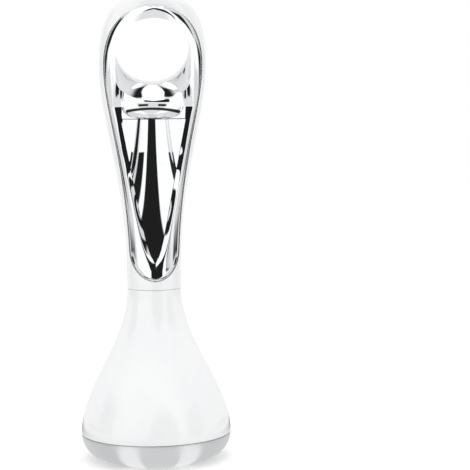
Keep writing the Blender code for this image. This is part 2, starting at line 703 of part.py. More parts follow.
def make_switch():
    """Board, push switch with its plunger, two parts and two screws."""
    low = NECK_Z + BOARD_RISE
    half = BOARD_WIDTH / 2
    back = board_y() + BOARD_THICKNESS
    board = box("switch_board", (-half, board_y(), low), (half, back, low + BOARD_LENGTH), BOARD_GREEN)
    for rise in BOARD_SCREW_RISES:
        z = NECK_Z + rise
        along = turned((board_screw_x(z), 0, z), axis_y=(0, 1, 0))
        combine(board, cylinder("hole", BOARD_SCREW_RADIUS + GAP, board_y() - GAP, back + GAP, BOARD_GREEN, along),
                "DIFFERENCE")
    tidy(board)
    for count, rise in enumerate(BOARD_SCREW_RISES, 1):
        z = NECK_Z + rise
        along = turned((board_screw_x(z), 0, z), axis_y=(0, 1, 0))
        head = board_y() - GAP
        tip = back + GAP + BOARD_SCREW_GRIP
        revolve(f"board_screw_{count}", [(0, head - BOARD_SCREW_HEAD), (BOARD_SCREW_HEAD_RADIUS, head - BOARD_SCREW_HEAD),
                (BOARD_SCREW_HEAD_RADIUS, head), (BOARD_SCREW_RADIUS, head), (BOARD_SCREW_RADIUS, tip), (0, tip)],
                STEEL, place=along)
    face = board_y() - GAP
    side = SWITCH_SIDE / 2
    body = box("switch_body", (-side, face - SWITCH_DEPTH, SWITCH_Z - side), (side, face, SWITCH_Z + side),
               BLACK_PLASTIC)
    push = turned((0, 0, SWITCH_Z), axis_y=(0, 1, 0))
    inner = face - SWITCH_DEPTH + PLUNGER_OVERLAP
    combine(body, cylinder("well", PLUNGER_RADIUS + GAP, face - SWITCH_DEPTH - GAP, inner + SWITCH_TRAVEL + GAP,
                           BLACK_PLASTIC, push), "DIFFERENCE")
    tidy(body)
    tip = scoop_y(0, SWITCH_Z) + KEY_THICKNESS + GAP
    cylinder("switch_plunger", PLUNGER_RADIUS, tip, inner, GREY_PLASTIC, push)
    chip = CHIP_SIDE / 2
    chip_z = NECK_Z + CHIP_RISE
    box("driver_chip", (-chip, face - CHIP_DEPTH, chip_z - chip), (chip, face, chip_z + chip), BLACK_PLASTIC)
    diode_x = -half + GAP + DIODE_WIDTH
    box("flyback_diode", (-half + GAP, face - CHIP_DEPTH, low + GAP), (diode_x, face, low + GAP + DIODE_LENGTH),
        BLACK_PLASTIC)


# Head group

def bell_radius(z):
    """Radius of the head: a half cosine from the base seam to the neck."""
    share = clamp((z - PLATE_HEIGHT) / HEAD_HEIGHT) ** BELL_FULLNESS
    return NECK_RADIUS + (PLATE_RADIUS - NECK_RADIUS) * (1 + cos(pi * share)) / 2


def bell_wall(z):
    share = clamp((z - PLATE_HEIGHT) / HEAD_HEIGHT)
    return HEAD_WALL_BASE + (HEAD_WALL_NECK - HEAD_WALL_BASE) * share


def bell_inner(z):
    return bell_radius(z) - bell_wall(z)


def arc_block(name, inner, outer, low, high, middle, sweep, surface):
    """A curved block between two radii and two levels."""
    rings = []
    for angle in steps(middle - sweep / 2, middle + sweep / 2, 6):
        out = Vector((cos(angle), sin(angle), 0))
        rings.append([out * inner + Vector((0, 0, low)), out * outer + Vector((0, 0, low)),
                      out * outer + Vector((0, 0, high)), out * inner + Vector((0, 0, high))])
    return loft(name, rings, surface)


def hook_inner():
    return bell_inner(PLATE_HEIGHT) - LUG_REACH - GAP / 2


def spigot_ring_outer():
    return hook_inner() - GAP


def hook_top():
    return PLATE_HEIGHT + GAP + HOOK_THICKNESS


def bayonet_angles():
    return [2 * pi * i / BAYONET_LUGS + pi / 6 for i in range(BAYONET_LUGS)]


def make_head_shell():
    """White bell with three hooks for the base and three bosses for the chassis."""
    low, high = PLATE_HEIGHT + GAP / 2, NECK_Z - GAP / 2
    outer = [(bell_radius(z), z) for z in steps(low, high, 12)]
    inner = [(bell_inner(z), z) for z in reversed(steps(low, high, 9))]
    shell = revolve("head_shell", outer + inner, WHITE_GLOSS, HEAD_SIDES)
    for middle in bayonet_angles():
        hook = arc_block("hook", hook_inner(), bell_inner(low) + HEAD_WALL_BASE / 2, PLATE_HEIGHT + GAP, hook_top(),
                         middle, BAYONET_ARC, WHITE_GLOSS)
        combine(shell, hook, "UNION")
    boss_low = FLANGE_TOP + GAP
    for angle in CHASSIS_SCREW_ANGLES:
        place = Matrix.Translation((CHASSIS_SCREW_CIRCLE * cos(angle), CHASSIS_SCREW_CIRCLE * sin(angle), 0))
        boss = cylinder("boss", CHASSIS_BOSS_RADIUS, boss_low, boss_low + CHASSIS_BOSS_LENGTH, WHITE_GLOSS, place)
        bell = [(0, low)] + outer_profile_for_boss(low, high) + [(0, high)]
        combine(boss, revolve("bell", bell, WHITE_GLOSS, HEAD_SIDES), "INTERSECT")
        combine(shell, boss, "UNION")
        pilot = cylinder("pilot", CHASSIS_SCREW_RADIUS + GAP / 2, boss_low - GAP,
                         FLANGE_BOTTOM - GAP + CHASSIS_SCREW_LENGTH + GAP, WHITE_GLOSS, place)
        combine(shell, pilot, "DIFFERENCE")
    tidy(shell)


def outer_profile_for_boss(low, high):
    """The middle of the bell's wall, where the bosses end."""
    return [(bell_radius(z) - bell_wall(z) / 2, z) for z in steps(low, high, 12)]


def chassis_top():
    """Upper end of the cell's tube, over the contact."""
    return CELL_BOTTOM + CELL_CAN_LENGTH + CELL_NUB_LENGTH + GAP + CONTACT_THICKNESS + GAP + TUBE_END_WALL


def make_chassis():
    """Inner frame: flange, cell tube with a wire slot, and the motor's pocket with two lugs."""
    end_high = chassis_top()
    end_low = end_high - TUBE_END_WALL
    profile = [(TUBE_INNER, FLANGE_BOTTOM), (FLANGE_RADIUS, FLANGE_BOTTOM), (FLANGE_RADIUS, FLANGE_TOP),
               (TUBE_OUTER, FLANGE_TOP), (TUBE_OUTER, end_high), (TAIL_RADIUS + GAP, end_high),
               (TAIL_RADIUS + GAP, end_low), (TUBE_INNER, end_low)]
    chassis = revolve("battery_chassis", profile, GREY_PLASTIC, 28)
    beside = Matrix.Translation((0, MOTOR_Y, 0))
    pocket_top = FLANGE_TOP + POCKET_LENGTH
    combine(chassis, cylinder("pocket", POCKET_OUTER, FLANGE_TOP - FLANGE_THICKNESS / 2, pocket_top, GREY_PLASTIC,
                              beside, 20), "UNION")
    lug = strap_foot_end()
    lugs = box("lugs", (-lug, MOTOR_Y - STRAP_WIDTH / 2, pocket_top - LUG_HEIGHT),
               (lug, MOTOR_Y + STRAP_WIDTH / 2, pocket_top - GAP), GREY_PLASTIC)
    combine(chassis, lugs, "UNION")
    seat = FLANGE_TOP + MOTOR_SEAT
    well = revolve("well", [(0, FLANGE_TOP), (POCKET_INNER - POCKET_STEP, FLANGE_TOP), (POCKET_INNER - POCKET_STEP, seat),
                            (POCKET_INNER, seat), (POCKET_INNER, pocket_top + GAP), (0, pocket_top + GAP)],
                   GREY_PLASTIC, 20, beside)
    combine(chassis, well, "DIFFERENCE")
    slot = WIRE_SLOT_WIDTH / 2
    combine(chassis, box("slot", (-slot, TUBE_INNER - TUBE_WALL, WIRE_SLOT_BOTTOM), (slot, TUBE_OUTER + GAP,
                         end_high + GAP), GREY_PLASTIC), "DIFFERENCE")
    for angle in CHASSIS_SCREW_ANGLES:
        place = Matrix.Translation((CHASSIS_SCREW_CIRCLE * cos(angle), CHASSIS_SCREW_CIRCLE * sin(angle), 0))
        combine(chassis, cylinder("hole", CHASSIS_SCREW_RADIUS + GAP, FLANGE_BOTTOM - GAP, FLANGE_TOP + GAP,
                                  GREY_PLASTIC, place), "DIFFERENCE")
    for side in (-1, 1):
        place = Matrix.Translation((side * strap_screw_x(), MOTOR_Y, 0))
        combine(chassis, cylinder("hole", STRAP_SCREW_RADIUS + GAP / 2, pocket_top - LUG_HEIGHT - GAP,
                                  pocket_top + GAP, GREY_PLASTIC, place), "DIFFERENCE")
    half = CONTACT_ARM_WIDTH / 2
    tail = box("tail_slot", (LEAF_INNER - GAP, -half, FLANGE_BOTTOM - GAP),
               (LEAF_INNER + CONTACT_TAB_THICKNESS + GAP, half, FLANGE_TOP + GAP), GREY_PLASTIC)
    combine(chassis, tail, "DIFFERENCE")
    tidy(chassis)
    for count, angle in enumerate(CHASSIS_SCREW_ANGLES, 1):
        place = Matrix.Translation((CHASSIS_SCREW_CIRCLE * cos(angle), CHASSIS_SCREW_CIRCLE * sin(angle), 0))
        head = FLANGE_BOTTOM - GAP
        revolve(f"chassis_screw_{count}", [(0, head - CHASSIS_SCREW_HEAD), (CHASSIS_SCREW_HEAD_RADIUS,
                head - CHASSIS_SCREW_HEAD), (CHASSIS_SCREW_HEAD_RADIUS, head), (CHASSIS_SCREW_RADIUS, head),
                (CHASSIS_SCREW_RADIUS, head + CHASSIS_SCREW_LENGTH), (0, head + CHASSIS_SCREW_LENGTH)],
                STEEL, place=place)


def strap_inner():
    return MOTOR_RADIUS + GAP


def strap_foot_end():
    return strap_inner() + STRAP_THICKNESS + STRAP_FOOT


def strap_screw_x():
    return strap_inner() + STRAP_THICKNESS + STRAP_FOOT / 2


def make_cell():
    """The cell, its upper contact and the leaf under the flange."""
    top = CELL_BOTTOM + CELL_CAN_LENGTH
    nub = top + CELL_NUB_LENGTH
    revolve("battery_cell", [(0, CELL_BOTTOM), (CELL_RADIUS, CELL_BOTTOM), (CELL_RADIUS, top), (CELL_NUB_RADIUS, top),
            (CELL_NUB_RADIUS, nub), (0, nub)], CELL_WRAP, 24)
    low = nub + GAP
    high = low + CONTACT_THICKNESS
    revolve("positive_contact", [(0, low), (CELL_RADIUS - GAP, low), (CELL_RADIUS - GAP, high), (TAIL_RADIUS, high),
            (TAIL_RADIUS, high + TAIL_LENGTH), (0, high + TAIL_LENGTH)], BRASS, 16)
    half = CONTACT_ARM_WIDTH / 2 - GAP
    leaf_top = FLANGE_BOTTOM - GAP
    leaf_low = leaf_top - CONTACT_THICKNESS
    tail = FLANGE_TOP + LEAF_TAIL_TOP
    foot = CONTACT_TAB_TOP + GAP
    bump = CONTACT_TAB_REACH - CONTACT_TAB_THICKNESS - GAP
    outline = [(LEAF_INNER, leaf_low), (bump, leaf_low), (bump, foot), (LEAF_OUTER, foot), (LEAF_OUTER, leaf_top),
               (LEAF_INNER + CONTACT_TAB_THICKNESS, leaf_top), (LEAF_INNER + CONTACT_TAB_THICKNESS, tail),
               (LEAF_INNER, tail)]
    extrude_side("negative_leaf", outline, half, BRASS)


def extrude_side(name, outline, half, surface):
    """An outline in the XZ plane, carried half to each side in Y."""
    return loft(name, [[Vector((x, y, z)) for x, z in outline] for y in (-half, half)], surface)


def make_motor():
    """Motor can, end cap, shaft with its eccentric weight, strap and screws."""
    beside = Matrix.Translation((0, MOTOR_Y, 0))
    low = FLANGE_TOP + MOTOR_SEAT + GAP
    high = low + MOTOR_LENGTH
    nose = SHAFT_RADIUS + SHAFT_CLEARANCE
    deep = low + MOTOR_LENGTH / 2
    revolve("motor_can", [(nose, low), (MOTOR_RADIUS, low), (MOTOR_RADIUS, high), (0, high), (0, deep + GAP),
            (nose, deep + GAP)], STEEL, 20, beside)
    cap = high + GAP
    cylinder("motor_end_cap", END_CAP_RADIUS, cap, cap + END_CAP_LENGTH, BLACK_PLASTIC, beside, 20)
    bottom = FLANGE_TOP + GAP
    cylinder("motor_shaft", SHAFT_RADIUS, bottom, deep, STEEL, beside, 10)
    turn = [pi * i / 12 for i in range(13)]
    hub = [2 * pi - pi * i / 6 for i in range(1, 6)]
    outline = [(WEIGHT_RADIUS * cos(a), WEIGHT_RADIUS * sin(a)) for a in turn]
    outline += [(-WEIGHT_HUB_RADIUS * cos(a), WEIGHT_HUB_RADIUS * sin(a)) for a in hub]
    weight_low = bottom + GAP
    rings = [[Vector((x, MOTOR_Y + y, z)) for x, y in outline] for z in (weight_low, weight_low + WEIGHT_LENGTH)]
    weight = loft("eccentric_weight", rings, BRASS)
    combine(weight, cylinder("bore", nose, weight_low - GAP, weight_low + WEIGHT_LENGTH + GAP, BRASS, beside, 10),
            "DIFFERENCE")
    tidy(weight)
    pocket_top = FLANGE_TOP + POCKET_LENGTH
    inner, outer, end = strap_inner(), strap_inner() + STRAP_THICKNESS, strap_foot_end()
    bar = cap + END_CAP_LENGTH + GAP
    half_outline = [(end, pocket_top), (end, pocket_top + STRAP_THICKNESS), (outer, pocket_top + STRAP_THICKNESS),
                    (outer, bar + STRAP_THICKNESS)]
    inner_outline = [(inner, bar), (inner, pocket_top)]
    outline = half_outline + [(-x, z) for x, z in reversed(half_outline)]
    outline += [(-x, z) for x, z in reversed(inner_outline)] + inner_outline
    rings = [[Vector((x, MOTOR_Y + y, z)) for x, z in outline] for y in (-STRAP_WIDTH / 2, STRAP_WIDTH / 2)]
    strap = loft("motor_strap", rings, STEEL)
    for count, side in enumerate((-1, 1), 1):
        place = Matrix.Translation((side * strap_screw_x(), MOTOR_Y, 0))
        combine(strap, cylinder("hole", STRAP_SCREW_RADIUS + GAP / 2, pocket_top - GAP, pocket_top + STRAP_THICKNESS
                                + GAP, STEEL, place), "DIFFERENCE")
        head = pocket_top + STRAP_THICKNESS + GAP / 2
        revolve(f"strap_screw_{count}", [(0, head - STRAP_SCREW_LENGTH), (STRAP_SCREW_RADIUS, head -
                STRAP_SCREW_LENGTH), (STRAP_SCREW_RADIUS, head), (STRAP_SCREW_HEAD_RADIUS, head),
                (STRAP_SCREW_HEAD_RADIUS, head + STRAP_SCREW_HEAD), (0, head + STRAP_SCREW_HEAD)], STEEL, place=place)
    tidy(strap)


# Base cap

def plate_inner(z):
    """Inner radius of the dish at a level."""
    height = PLATE_HEIGHT - PLATE_WALL
    drop = clamp((PLATE_HEIGHT - z) / height)
    return PLATE_FLAT_RADIUS + (PLATE_RADIUS - PLATE_WALL - PLATE_FLAT_RADIUS) * sqrt(max(0, 1 - drop * drop))


def make_plate():
    """Steel dish: a flat face and a quarter-ellipse side."""
    top = PLATE_HEIGHT - GAP / 2
    side = PLATE_RADIUS - PLATE_FLAT_RADIUS
    turn = steps(0, acos(1 - top / PLATE_HEIGHT), 9)
    outer = [(PLATE_FLAT_RADIUS + side * sin(a), PLATE_HEIGHT * (1 - cos(a))) for a in turn]
    inner = [(plate_inner(z), z) for z in (top, (top + PLATE_WALL) / 2, top / 3, PLATE_WALL + GAP)]
    revolve("massage_plate", [(0, 0)] + outer + inner + [(PLATE_FLAT_RADIUS, PLATE_WALL), (0, PLATE_WALL)],
            SATIN_STEEL, HEAD_SIDES)


def make_carrier():
    """Plastic cup in the dish: floor, seal seat, and a spigot with three lugs."""
    low = PLATE_WALL + GAP
    seat = PLATE_HEIGHT - FLANGE_RING_DROP
    under = seat - FLANGE_RING_THICKNESS
    ring = plate_inner(under) - GAP
    spigot = spigot_ring_outer()
    bore = spigot - SPIGOT_RING_WALL
    top = PLATE_HEIGHT + SPIGOT_RING_RISE
    floor = low + CARRIER_WALL
    profile = [(0, low), (CARRIER_FLOOR_RADIUS, low), (plate_inner(under) - GAP - FLANGE_RING_THICKNESS, under),
               (ring, under), (ring, seat), (spigot, seat), (spigot, top), (bore, top), (bore, seat),
               (CARRIER_FLOOR_RADIUS - CARRIER_WALL, floor), (0, floor)]
    carrier = revolve("plate_carrier", profile, GREY_PLASTIC, HEAD_SIDES)
    lug_low = hook_top() + GAP
    for middle in bayonet_angles():
        lug = arc_block("lug", spigot - SPIGOT_RING_WALL / 2, spigot + LUG_REACH, lug_low, lug_low + LUG_THICKNESS
                        - GAP, middle, BAYONET_ARC, GREY_PLASTIC)
        combine(carrier, lug, "UNION")
    tidy(carrier)
    between = (spigot + plate_inner(seat)) / 2 - GAP
    seal = [(between + SEAL_RADIUS * cos(2 * pi * i / 8), seat + GAP + SEAL_RADIUS * (1 + sin(2 * pi * i / 8)))
            for i in range(8)]
    revolve("base_seal_ring", seal, RUBBER, HEAD_SIDES)
    return floor


def make_base_contacts(floor):
    """Contact plate with its tab, and the cell's coil spring."""
    low = floor + GAP
    high = low + CONTACT_THICKNESS
    plate = cylinder("contact_plate", CONTACT_RADIUS, low, high, BRASS, sides=20)
    half = CONTACT_ARM_WIDTH / 2 - GAP
    tab = CONTACT_TAB_REACH - CONTACT_TAB_THICKNESS
    outline = [(CONTACT_RADIUS / 2, low), (CONTACT_TAB_REACH, low), (CONTACT_TAB_REACH, CONTACT_TAB_TOP),
               (tab, CONTACT_TAB_TOP), (tab, high), (CONTACT_RADIUS / 2, high)]
    combine(plate, extrude_side("arm", outline, half, BRASS), "UNION")
    tidy(plate)
    bottom = high + GAP / 2 + SPRING_WIRE_RADIUS
    top = CELL_BOTTOM - GAP / 2 - SPRING_WIRE_RADIUS
    count = 10 * SPRING_TURNS
    points = []
    for i in range(count + 1):
        share = i / count
        angle = 2 * pi * SPRING_TURNS * share
        radius = SPRING_BASE_RADIUS + (SPRING_TOP_RADIUS - SPRING_BASE_RADIUS) * share
        points.append(Vector((radius * cos(angle), radius * sin(angle), bottom + (top - bottom) * share)))
    tube("negative_spring", points, SPRING_WIRE_RADIUS, STEEL)


# Wires

def tube(name, points, radius, surface):
    """A round tube along points, its ends closed."""
    rings = []
    side = Vector((1, 0, 0))
    for i, point in enumerate(points):
        ahead = points[min(i + 1, len(points) - 1)] - points[max(i - 1, 0)]
        ahead.normalize()
        side = (side - ahead * side.dot(ahead)).normalized()
        up = ahead.cross(side)
        rings.append([point + radius * (cos(a) * side + sin(a) * up)
                      for a in (2 * pi * k / WIRE_SIDES for k in range(WIRE_SIDES))])
    return loft(name, rings, surface)


def smooth_path(corners, count=4):
    """A smooth curve through hand-chosen points."""
    points = []
    ends = [corners[0]] + corners + [corners[-1]]
    for a, b, c, d in zip(ends, ends[1:], ends[2:], ends[3:]):
        for i in range(count):
            t = i / count
            points.append(0.5 * ((2 * b) + (c - a) * t + (2 * a - 5 * b + 4 * c - d) * t * t
                                 + (3 * b - a - 3 * c + d) * t * t * t))
    return points + [corners[-1]]


def make_wires():
    """Leads between the contacts, the board and the motor."""
    board_low = NECK_Z + BOARD_RISE - GAP
    lead_y = board_y() + BOARD_THICKNESS / 2
    tail = CELL_BOTTOM + CELL_CAN_LENGTH + CELL_NUB_LENGTH + GAP + CONTACT_THICKNESS + TAIL_LENGTH
    cap = FLANGE_TOP + MOTOR_SEAT + GAP + MOTOR_LENGTH + GAP + END_CAP_LENGTH
    lead_x = BOARD_WIDTH / 4
    start = tail + GAP + WIRE_RADIUS
    length = board_low - start
    positive = [Vector((0, 0, start)), Vector((lead_x / 4, lead_y / 4, start + length / 4)),
                Vector((lead_x * 3 / 4, lead_y * 3 / 4, start + length * 3 / 4)),
                Vector((lead_x, lead_y, board_low))]
    tube("positive_wire", smooth_path(positive), WIRE_RADIUS, WIRE_RED)
    slot_y = (TUBE_INNER + BORE_RADIUS) / 2
    mouth = chassis_top() + 3 * GAP
    terminal_y = MOTOR_Y - STRAP_WIDTH / 2 - GAP - WIRE_RADIUS - GAP
    terminal_x = 2 * WIRE_RADIUS
    above = cap + GAP
    motor = [Vector((-lead_x, lead_y, board_low)), Vector((-lead_x, lead_y, board_low - length / 4)),
             Vector((-lead_x / 2, slot_y * 3 / 4, mouth + SPIGOT_LENGTH)), Vector((0, slot_y, mouth)),
             Vector((0, slot_y, mouth - SPIGOT_LENGTH)), Vector((0, slot_y, WIRE_SLOT_BOTTOM + SPIGOT_LENGTH)),
             Vector((0, slot_y, WIRE_SLOT_BOTTOM + 3 * WIRE_RADIUS)),
             Vector((-terminal_x, terminal_y, above + 3 * WIRE_RADIUS)), Vector((-terminal_x, terminal_y, above))]
    tube("motor_wire", smooth_path(motor), WIRE_RADIUS, WIRE_BLUE)
    leaf = FLANGE_TOP + LEAF_TAIL_TOP + GAP
    leaf_x = LEAF_INNER + CONTACT_TAB_THICKNESS / 2
    negative = [Vector((leaf_x, 0, leaf)), Vector((leaf_x, 0, leaf + MOTOR_SEAT)),
                Vector((leaf_x, MOTOR_Y / 4, FLANGE_TOP + POCKET_LENGTH)),
                Vector((leaf_x / 2 + terminal_x, MOTOR_Y / 2 + WIRE_RADIUS, above + 2 * WIRE_RADIUS)),
                Vector((terminal_x + WIRE_RADIUS, terminal_y, above + 2 * WIRE_RADIUS)),
                Vector((terminal_x, terminal_y, above))]
    tube("negative_wire", smooth_path(negative), WIRE_RADIUS, BLACK_PLASTIC)


def empty(name, place, parent=None):
    """An empty that carries a group of pieces."""
    made = bpy.data.objects.new(name, None)
    bpy.context.scene.collection.objects.link(made)
    made.location = place
    if parent:
        made.parent = parent
    return made


def assemble():
    """Gather the pieces under empties that lie on the joints' axes."""
    body = empty("massager", (0, 0, 0))
    base = empty("base_turn", (0, 0, 0), body)
    rotor = empty("rotor_turn", (0, MOTOR_Y, 0), body)
    key = empty("key_turn", (0, pivot_y(), PIVOT_Z), body)
    push = empty("plunger_slide", (0, 0, SWITCH_Z), body)
    homes = {"thumb_key": key, "switch_plunger": push, "motor_shaft": rotor, "eccentric_weight": rotor}
    for name in ("massage_plate", "plate_carrier", "base_seal_ring", "negative_spring", "contact_plate"):
        homes[name] = base
    for piece in [made for made in bpy.data.objects if made.type == "MESH"]:
        home = homes.get(piece.name, body)
        piece.parent = home
        piece.matrix_parent_inverse = Matrix.Translation(-home.location)


make_handle_shell()
make_chrome_trim()
make_thumb_key()
make_switch()
make_head_shell()
make_chassis()
make_cell()
make_motor()
make_plate()
make_base_contacts(make_carrier())
make_wires()
assemble()
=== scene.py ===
# %% [markdown]
# # A vibrating facial massager
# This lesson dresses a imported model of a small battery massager. The real one is a white bell with a steel
# plate under it, and a slim leaning handle with a mirror-plated front that ends in a finger ring.
# Every visible surface is worked out again here with numpy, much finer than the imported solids, and every
# finish is a procedural material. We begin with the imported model, which is the frame for all that follows.

# %% Load the frame
import math

import bmesh
import bpy
import numpy as np
from mathutils import Matrix, Vector


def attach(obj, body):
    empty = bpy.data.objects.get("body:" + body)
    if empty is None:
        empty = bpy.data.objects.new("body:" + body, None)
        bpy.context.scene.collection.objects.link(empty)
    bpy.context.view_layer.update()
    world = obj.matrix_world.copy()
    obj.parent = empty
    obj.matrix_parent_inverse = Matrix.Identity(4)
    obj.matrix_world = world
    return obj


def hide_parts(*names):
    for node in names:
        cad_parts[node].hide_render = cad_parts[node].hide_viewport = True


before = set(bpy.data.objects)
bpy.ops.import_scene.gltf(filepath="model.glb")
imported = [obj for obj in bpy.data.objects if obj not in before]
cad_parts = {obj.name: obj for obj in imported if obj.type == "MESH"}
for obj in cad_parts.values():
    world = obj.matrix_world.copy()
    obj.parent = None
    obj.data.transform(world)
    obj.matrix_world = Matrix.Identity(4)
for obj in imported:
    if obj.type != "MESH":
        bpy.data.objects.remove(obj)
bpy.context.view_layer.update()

# %% [markdown]
# ## Sizes
# A designer's model keeps each size once, with a name. These are the sizes of the outer pieces, in metres.
# Most are the solid model's own. The carved forms at the ring and at the trim's rim are finer here.

# %% Sizes of the outer pieces
MM = 0.001
SEAM = 0.12 * MM

PLATE_RADIUS = 27.0 * MM
PLATE_HEIGHT = 9.3 * MM
PLATE_FLAT_RADIUS = 17.0 * MM
PLATE_WALL = 1.0 * MM
HEAD_HEIGHT = 52.2 * MM
NECK_RADIUS = 9.75 * MM
BELL_FULLNESS = 0.95
HEAD_WALL_BASE = 2.0 * MM
HEAD_WALL_NECK = 1.6 * MM

RING_RISE = 78.5 * MM
RING_TOP_RISE = 25.0 * MM
RING_HALF_WIDTH = 18.65 * MM
RING_HALF_DEPTH = 7.5 * MM
WIDTH_POWER = 2.5
TOP_SQUARE = 2.65
TOP_DEPTH_POWER = 0.3
LEAN = 11.8 * MM
LEAN_POWER = 2.33
HANDLE_WALL = 1.8 * MM
BORE_RADIUS = 6.85 * MM
SPIGOT_RADIUS = 7.85 * MM
SPIGOT_LENGTH = 7.5 * MM

HOLE_RISE = 84.1 * MM
HOLE_HALF_WIDTH = 13.0 * MM
HOLE_HALF_HEIGHT = 13.5 * MM
HOLE_TILT = math.radians(22)
HOLE_STRAIGHT = 4.0 * MM
HOLE_FLARE_REACH = 4.0 * MM
FRONT_FLARE = 1.0 * MM
BACK_FLARE = 1.8 * MM
CREST_RISE = 0.7 * MM
CREST_BACK = 2.0 * MM
LIP_DROP = 3.7 * MM
LIP_REACH = 14.0 * MM
LIP_FLARE_SHARE = 0.2
LIP_SQUARE = 8.0
LIP_SLOPE = 0.2
LIP_ROUND = 2.8 * MM
SLEEVE_WALL = 1.2 * MM
SLEEVE_BACK = 1.5 * MM

TRIM_RISE = 3.0 * MM
TRIM_TIP_LENGTH = 11.5 * MM
TRIM_TOP_DROP = 5.0 * MM
TRIM_WIDTH_SHARE = 0.885
TRIM_RING_SHARE = 0.918
TRIM_SWELL_RISE = 50.0 * MM
TRIM_TOP_POWER = 0.0
TRIM_TOP_SQUARE = 2.3
TRIM_SKIN = 1.3 * MM
TRIM_EDGE_ROUND = 2.5 * MM
TRIM_EDGE_WIDTH = 1.7 * MM
TRIM_EDGE_GROWTH = 0.6
PARTING_SHARE = 0.1

SCOOP_RISE = 6.9 * MM
SCOOP_DEPTH = 4.8 * MM
SCOOP_RUN = 42.0 * MM
SCOOP_TIP_ROUND = 3.0 * MM
SCOOP_TIP_LENGTH = 4.0 * MM
SCOOP_TAPER = 0.19
SCOOP_WALL = 1.2 * MM
SCOOP_CURVE_RADIUS = 8.0 * MM
STEEP_ANGLE = math.radians(47)
FLARE_ANGLE = math.radians(17)
FLARE_RUN = 1.6 * MM
RIDGE_ROUND = 0.3 * MM
NOSE_HEIGHT = 5.7 * MM
NOSE_TOP_RISE = 66.5 * MM
NOSE_UNDERCUT = 4.0 * MM
NOSE_SETBACK = 0.8 * MM
NOSE_RADIUS = 23.0 * MM
NOSE_SIDE_SLOPE = 3.0
MOUTH_HALF_WIDTH = 14.0 * MM
MOUTH_DROP = 3.6 * MM
KEY_INSET = 1.8 * MM
KEY_THICKNESS = 1.4 * MM
KEY_START = 4.6 * MM
KEY_GAP = 0.15 * MM
PIVOT_RISE = 15.5 * MM
PIVOT_SETBACK = 2.2 * MM
PIVOT_BARREL_RADIUS = 1.3 * MM
PIVOT_BORE_RADIUS = 0.75 * MM
EAR_REACH = 3.0 * MM
EAR_BACK = 1.7 * MM
HOLE_END = 22.0 * MM

TIP_CORE_RISE = 15.5 * MM
HOLLOW_LOW_RISE = 21.5 * MM
HOLLOW_TOP_RISE = 62.5 * MM
RING_CORE_RISE = 68.5 * MM

HOOK_ANGLES = np.radians([30, 150, 270])
HOOK_ARC = math.radians(40)
HOOK_REACH = 1.15 * MM
HOOK_OUTER = 26.0 * MM
HOOK_LOW = 9.6 * MM
HOOK_HIGH = 11.0 * MM
BOSS_ANGLES = np.radians([-90, 20, 160])
BOSS_CIRCLE = 18.8 * MM
BOSS_RADIUS = 2.5 * MM
BOSS_LOW = 13.7 * MM
BOSS_HEIGHT = 19.0 * MM
PILOT_RADIUS = 1.15 * MM
PILOT_TOP = 20.0 * MM
SHELL_EDGE = 0.15 * MM

NECK_Z = PLATE_HEIGHT + HEAD_HEIGHT
RING_Z = NECK_Z + RING_RISE
TOP_Z = RING_Z + RING_TOP_RISE
HOLE_Z = NECK_Z + HOLE_RISE
TRIM_Z = NECK_Z + TRIM_RISE
TRIM_TIP_TOP_Z = TRIM_Z + TRIM_TIP_LENGTH
TRIM_TOP_Z = TOP_Z - TRIM_TOP_DROP
SCOOP_Z = NECK_Z + SCOOP_RISE
NOSE_TOP_Z = NECK_Z + NOSE_TOP_RISE
NOSE_Z = NOSE_TOP_Z - NOSE_HEIGHT
HOLLOW_TOP_Z = HOLE_Z - MOUTH_DROP
KEY_Z = SCOOP_Z + KEY_START
PIVOT_Z = NECK_Z + PIVOT_RISE
FRONT_PLANE = -40.0 * MM
print("height", round(TOP_Z / MM, 1), "mm, plate", round(2 * PLATE_RADIUS / MM, 1), "mm across")

# %% [markdown]
# ## The form of the handle
# The handle could be a subdivided cage pushed about by hand. Here it is a formula instead: at each level it
# is an ellipse, whose width, depth and place follow the height. The same formula then gives the skin, the
# hollow inside it and the edge of every insert.

# %% The handle's formulas
def lean_y(z):
    """Middle line, front to back: a power curve that leans forward with height."""
    return -LEAN * np.clip((z - NECK_Z) / HOLE_RISE, 0, 2) ** LEAN_POWER


def half_width(z, inset=0.0):
    """Half width: the neck's radius swells by 1 - (1 - s^2.5)^2, then a squarish arc goes over the top."""
    share = np.clip((z - NECK_Z) / RING_RISE, 0, 1)
    top = np.clip((z - RING_Z) / (RING_TOP_RISE - inset), 0, 1)
    swell = 1 - (1 - share ** WIDTH_POWER) ** 2
    arc = (1 - top ** TOP_SQUARE) ** (1 / TOP_SQUARE)
    return (NECK_RADIUS + (RING_HALF_WIDTH - NECK_RADIUS) * swell - inset) * arc


def half_depth(z, inset=0.0, power=TOP_DEPTH_POWER):
    """Half depth: an S-curve from the neck's radius to the ring's, then a blunt power curve over the top."""
    share = np.clip((z - NECK_Z) / RING_RISE, 0, 1)
    top = np.clip((z - RING_Z) / (RING_TOP_RISE - inset), 0, 1)
    ease = share * share * (3 - 2 * share)
    return (NECK_RADIUS + (RING_HALF_DEPTH - NECK_RADIUS) * ease - inset) * (1 - top ** 2) ** power


def ease(share):
    """A smooth step from 0 to 1: 3 s^2 - 2 s^3."""
    share = np.clip(share, 0, 1)
    return share * share * (3 - 2 * share)


def skin_y(x, z):
    """Front of the skin at x and z: the ellipse's front half."""
    share = np.clip(np.abs(x) / np.maximum(half_width(z), SEAM), 0, 1)
    return lean_y(z) - half_depth(z) * np.sqrt(1 - share ** 2)


print("ring is", round(2 * float(half_width(RING_Z)) / MM, 1), "mm wide")

# %% [markdown]
# ## Solids from grids
# A surface is a grid of points: one row for each level, one column for each place round it. One helper
# turns such a grid into a closed mesh in a single call, with no loop over its points. Cuts are exact
# Boolean cuts between closed grids, so every edge stays crisp.

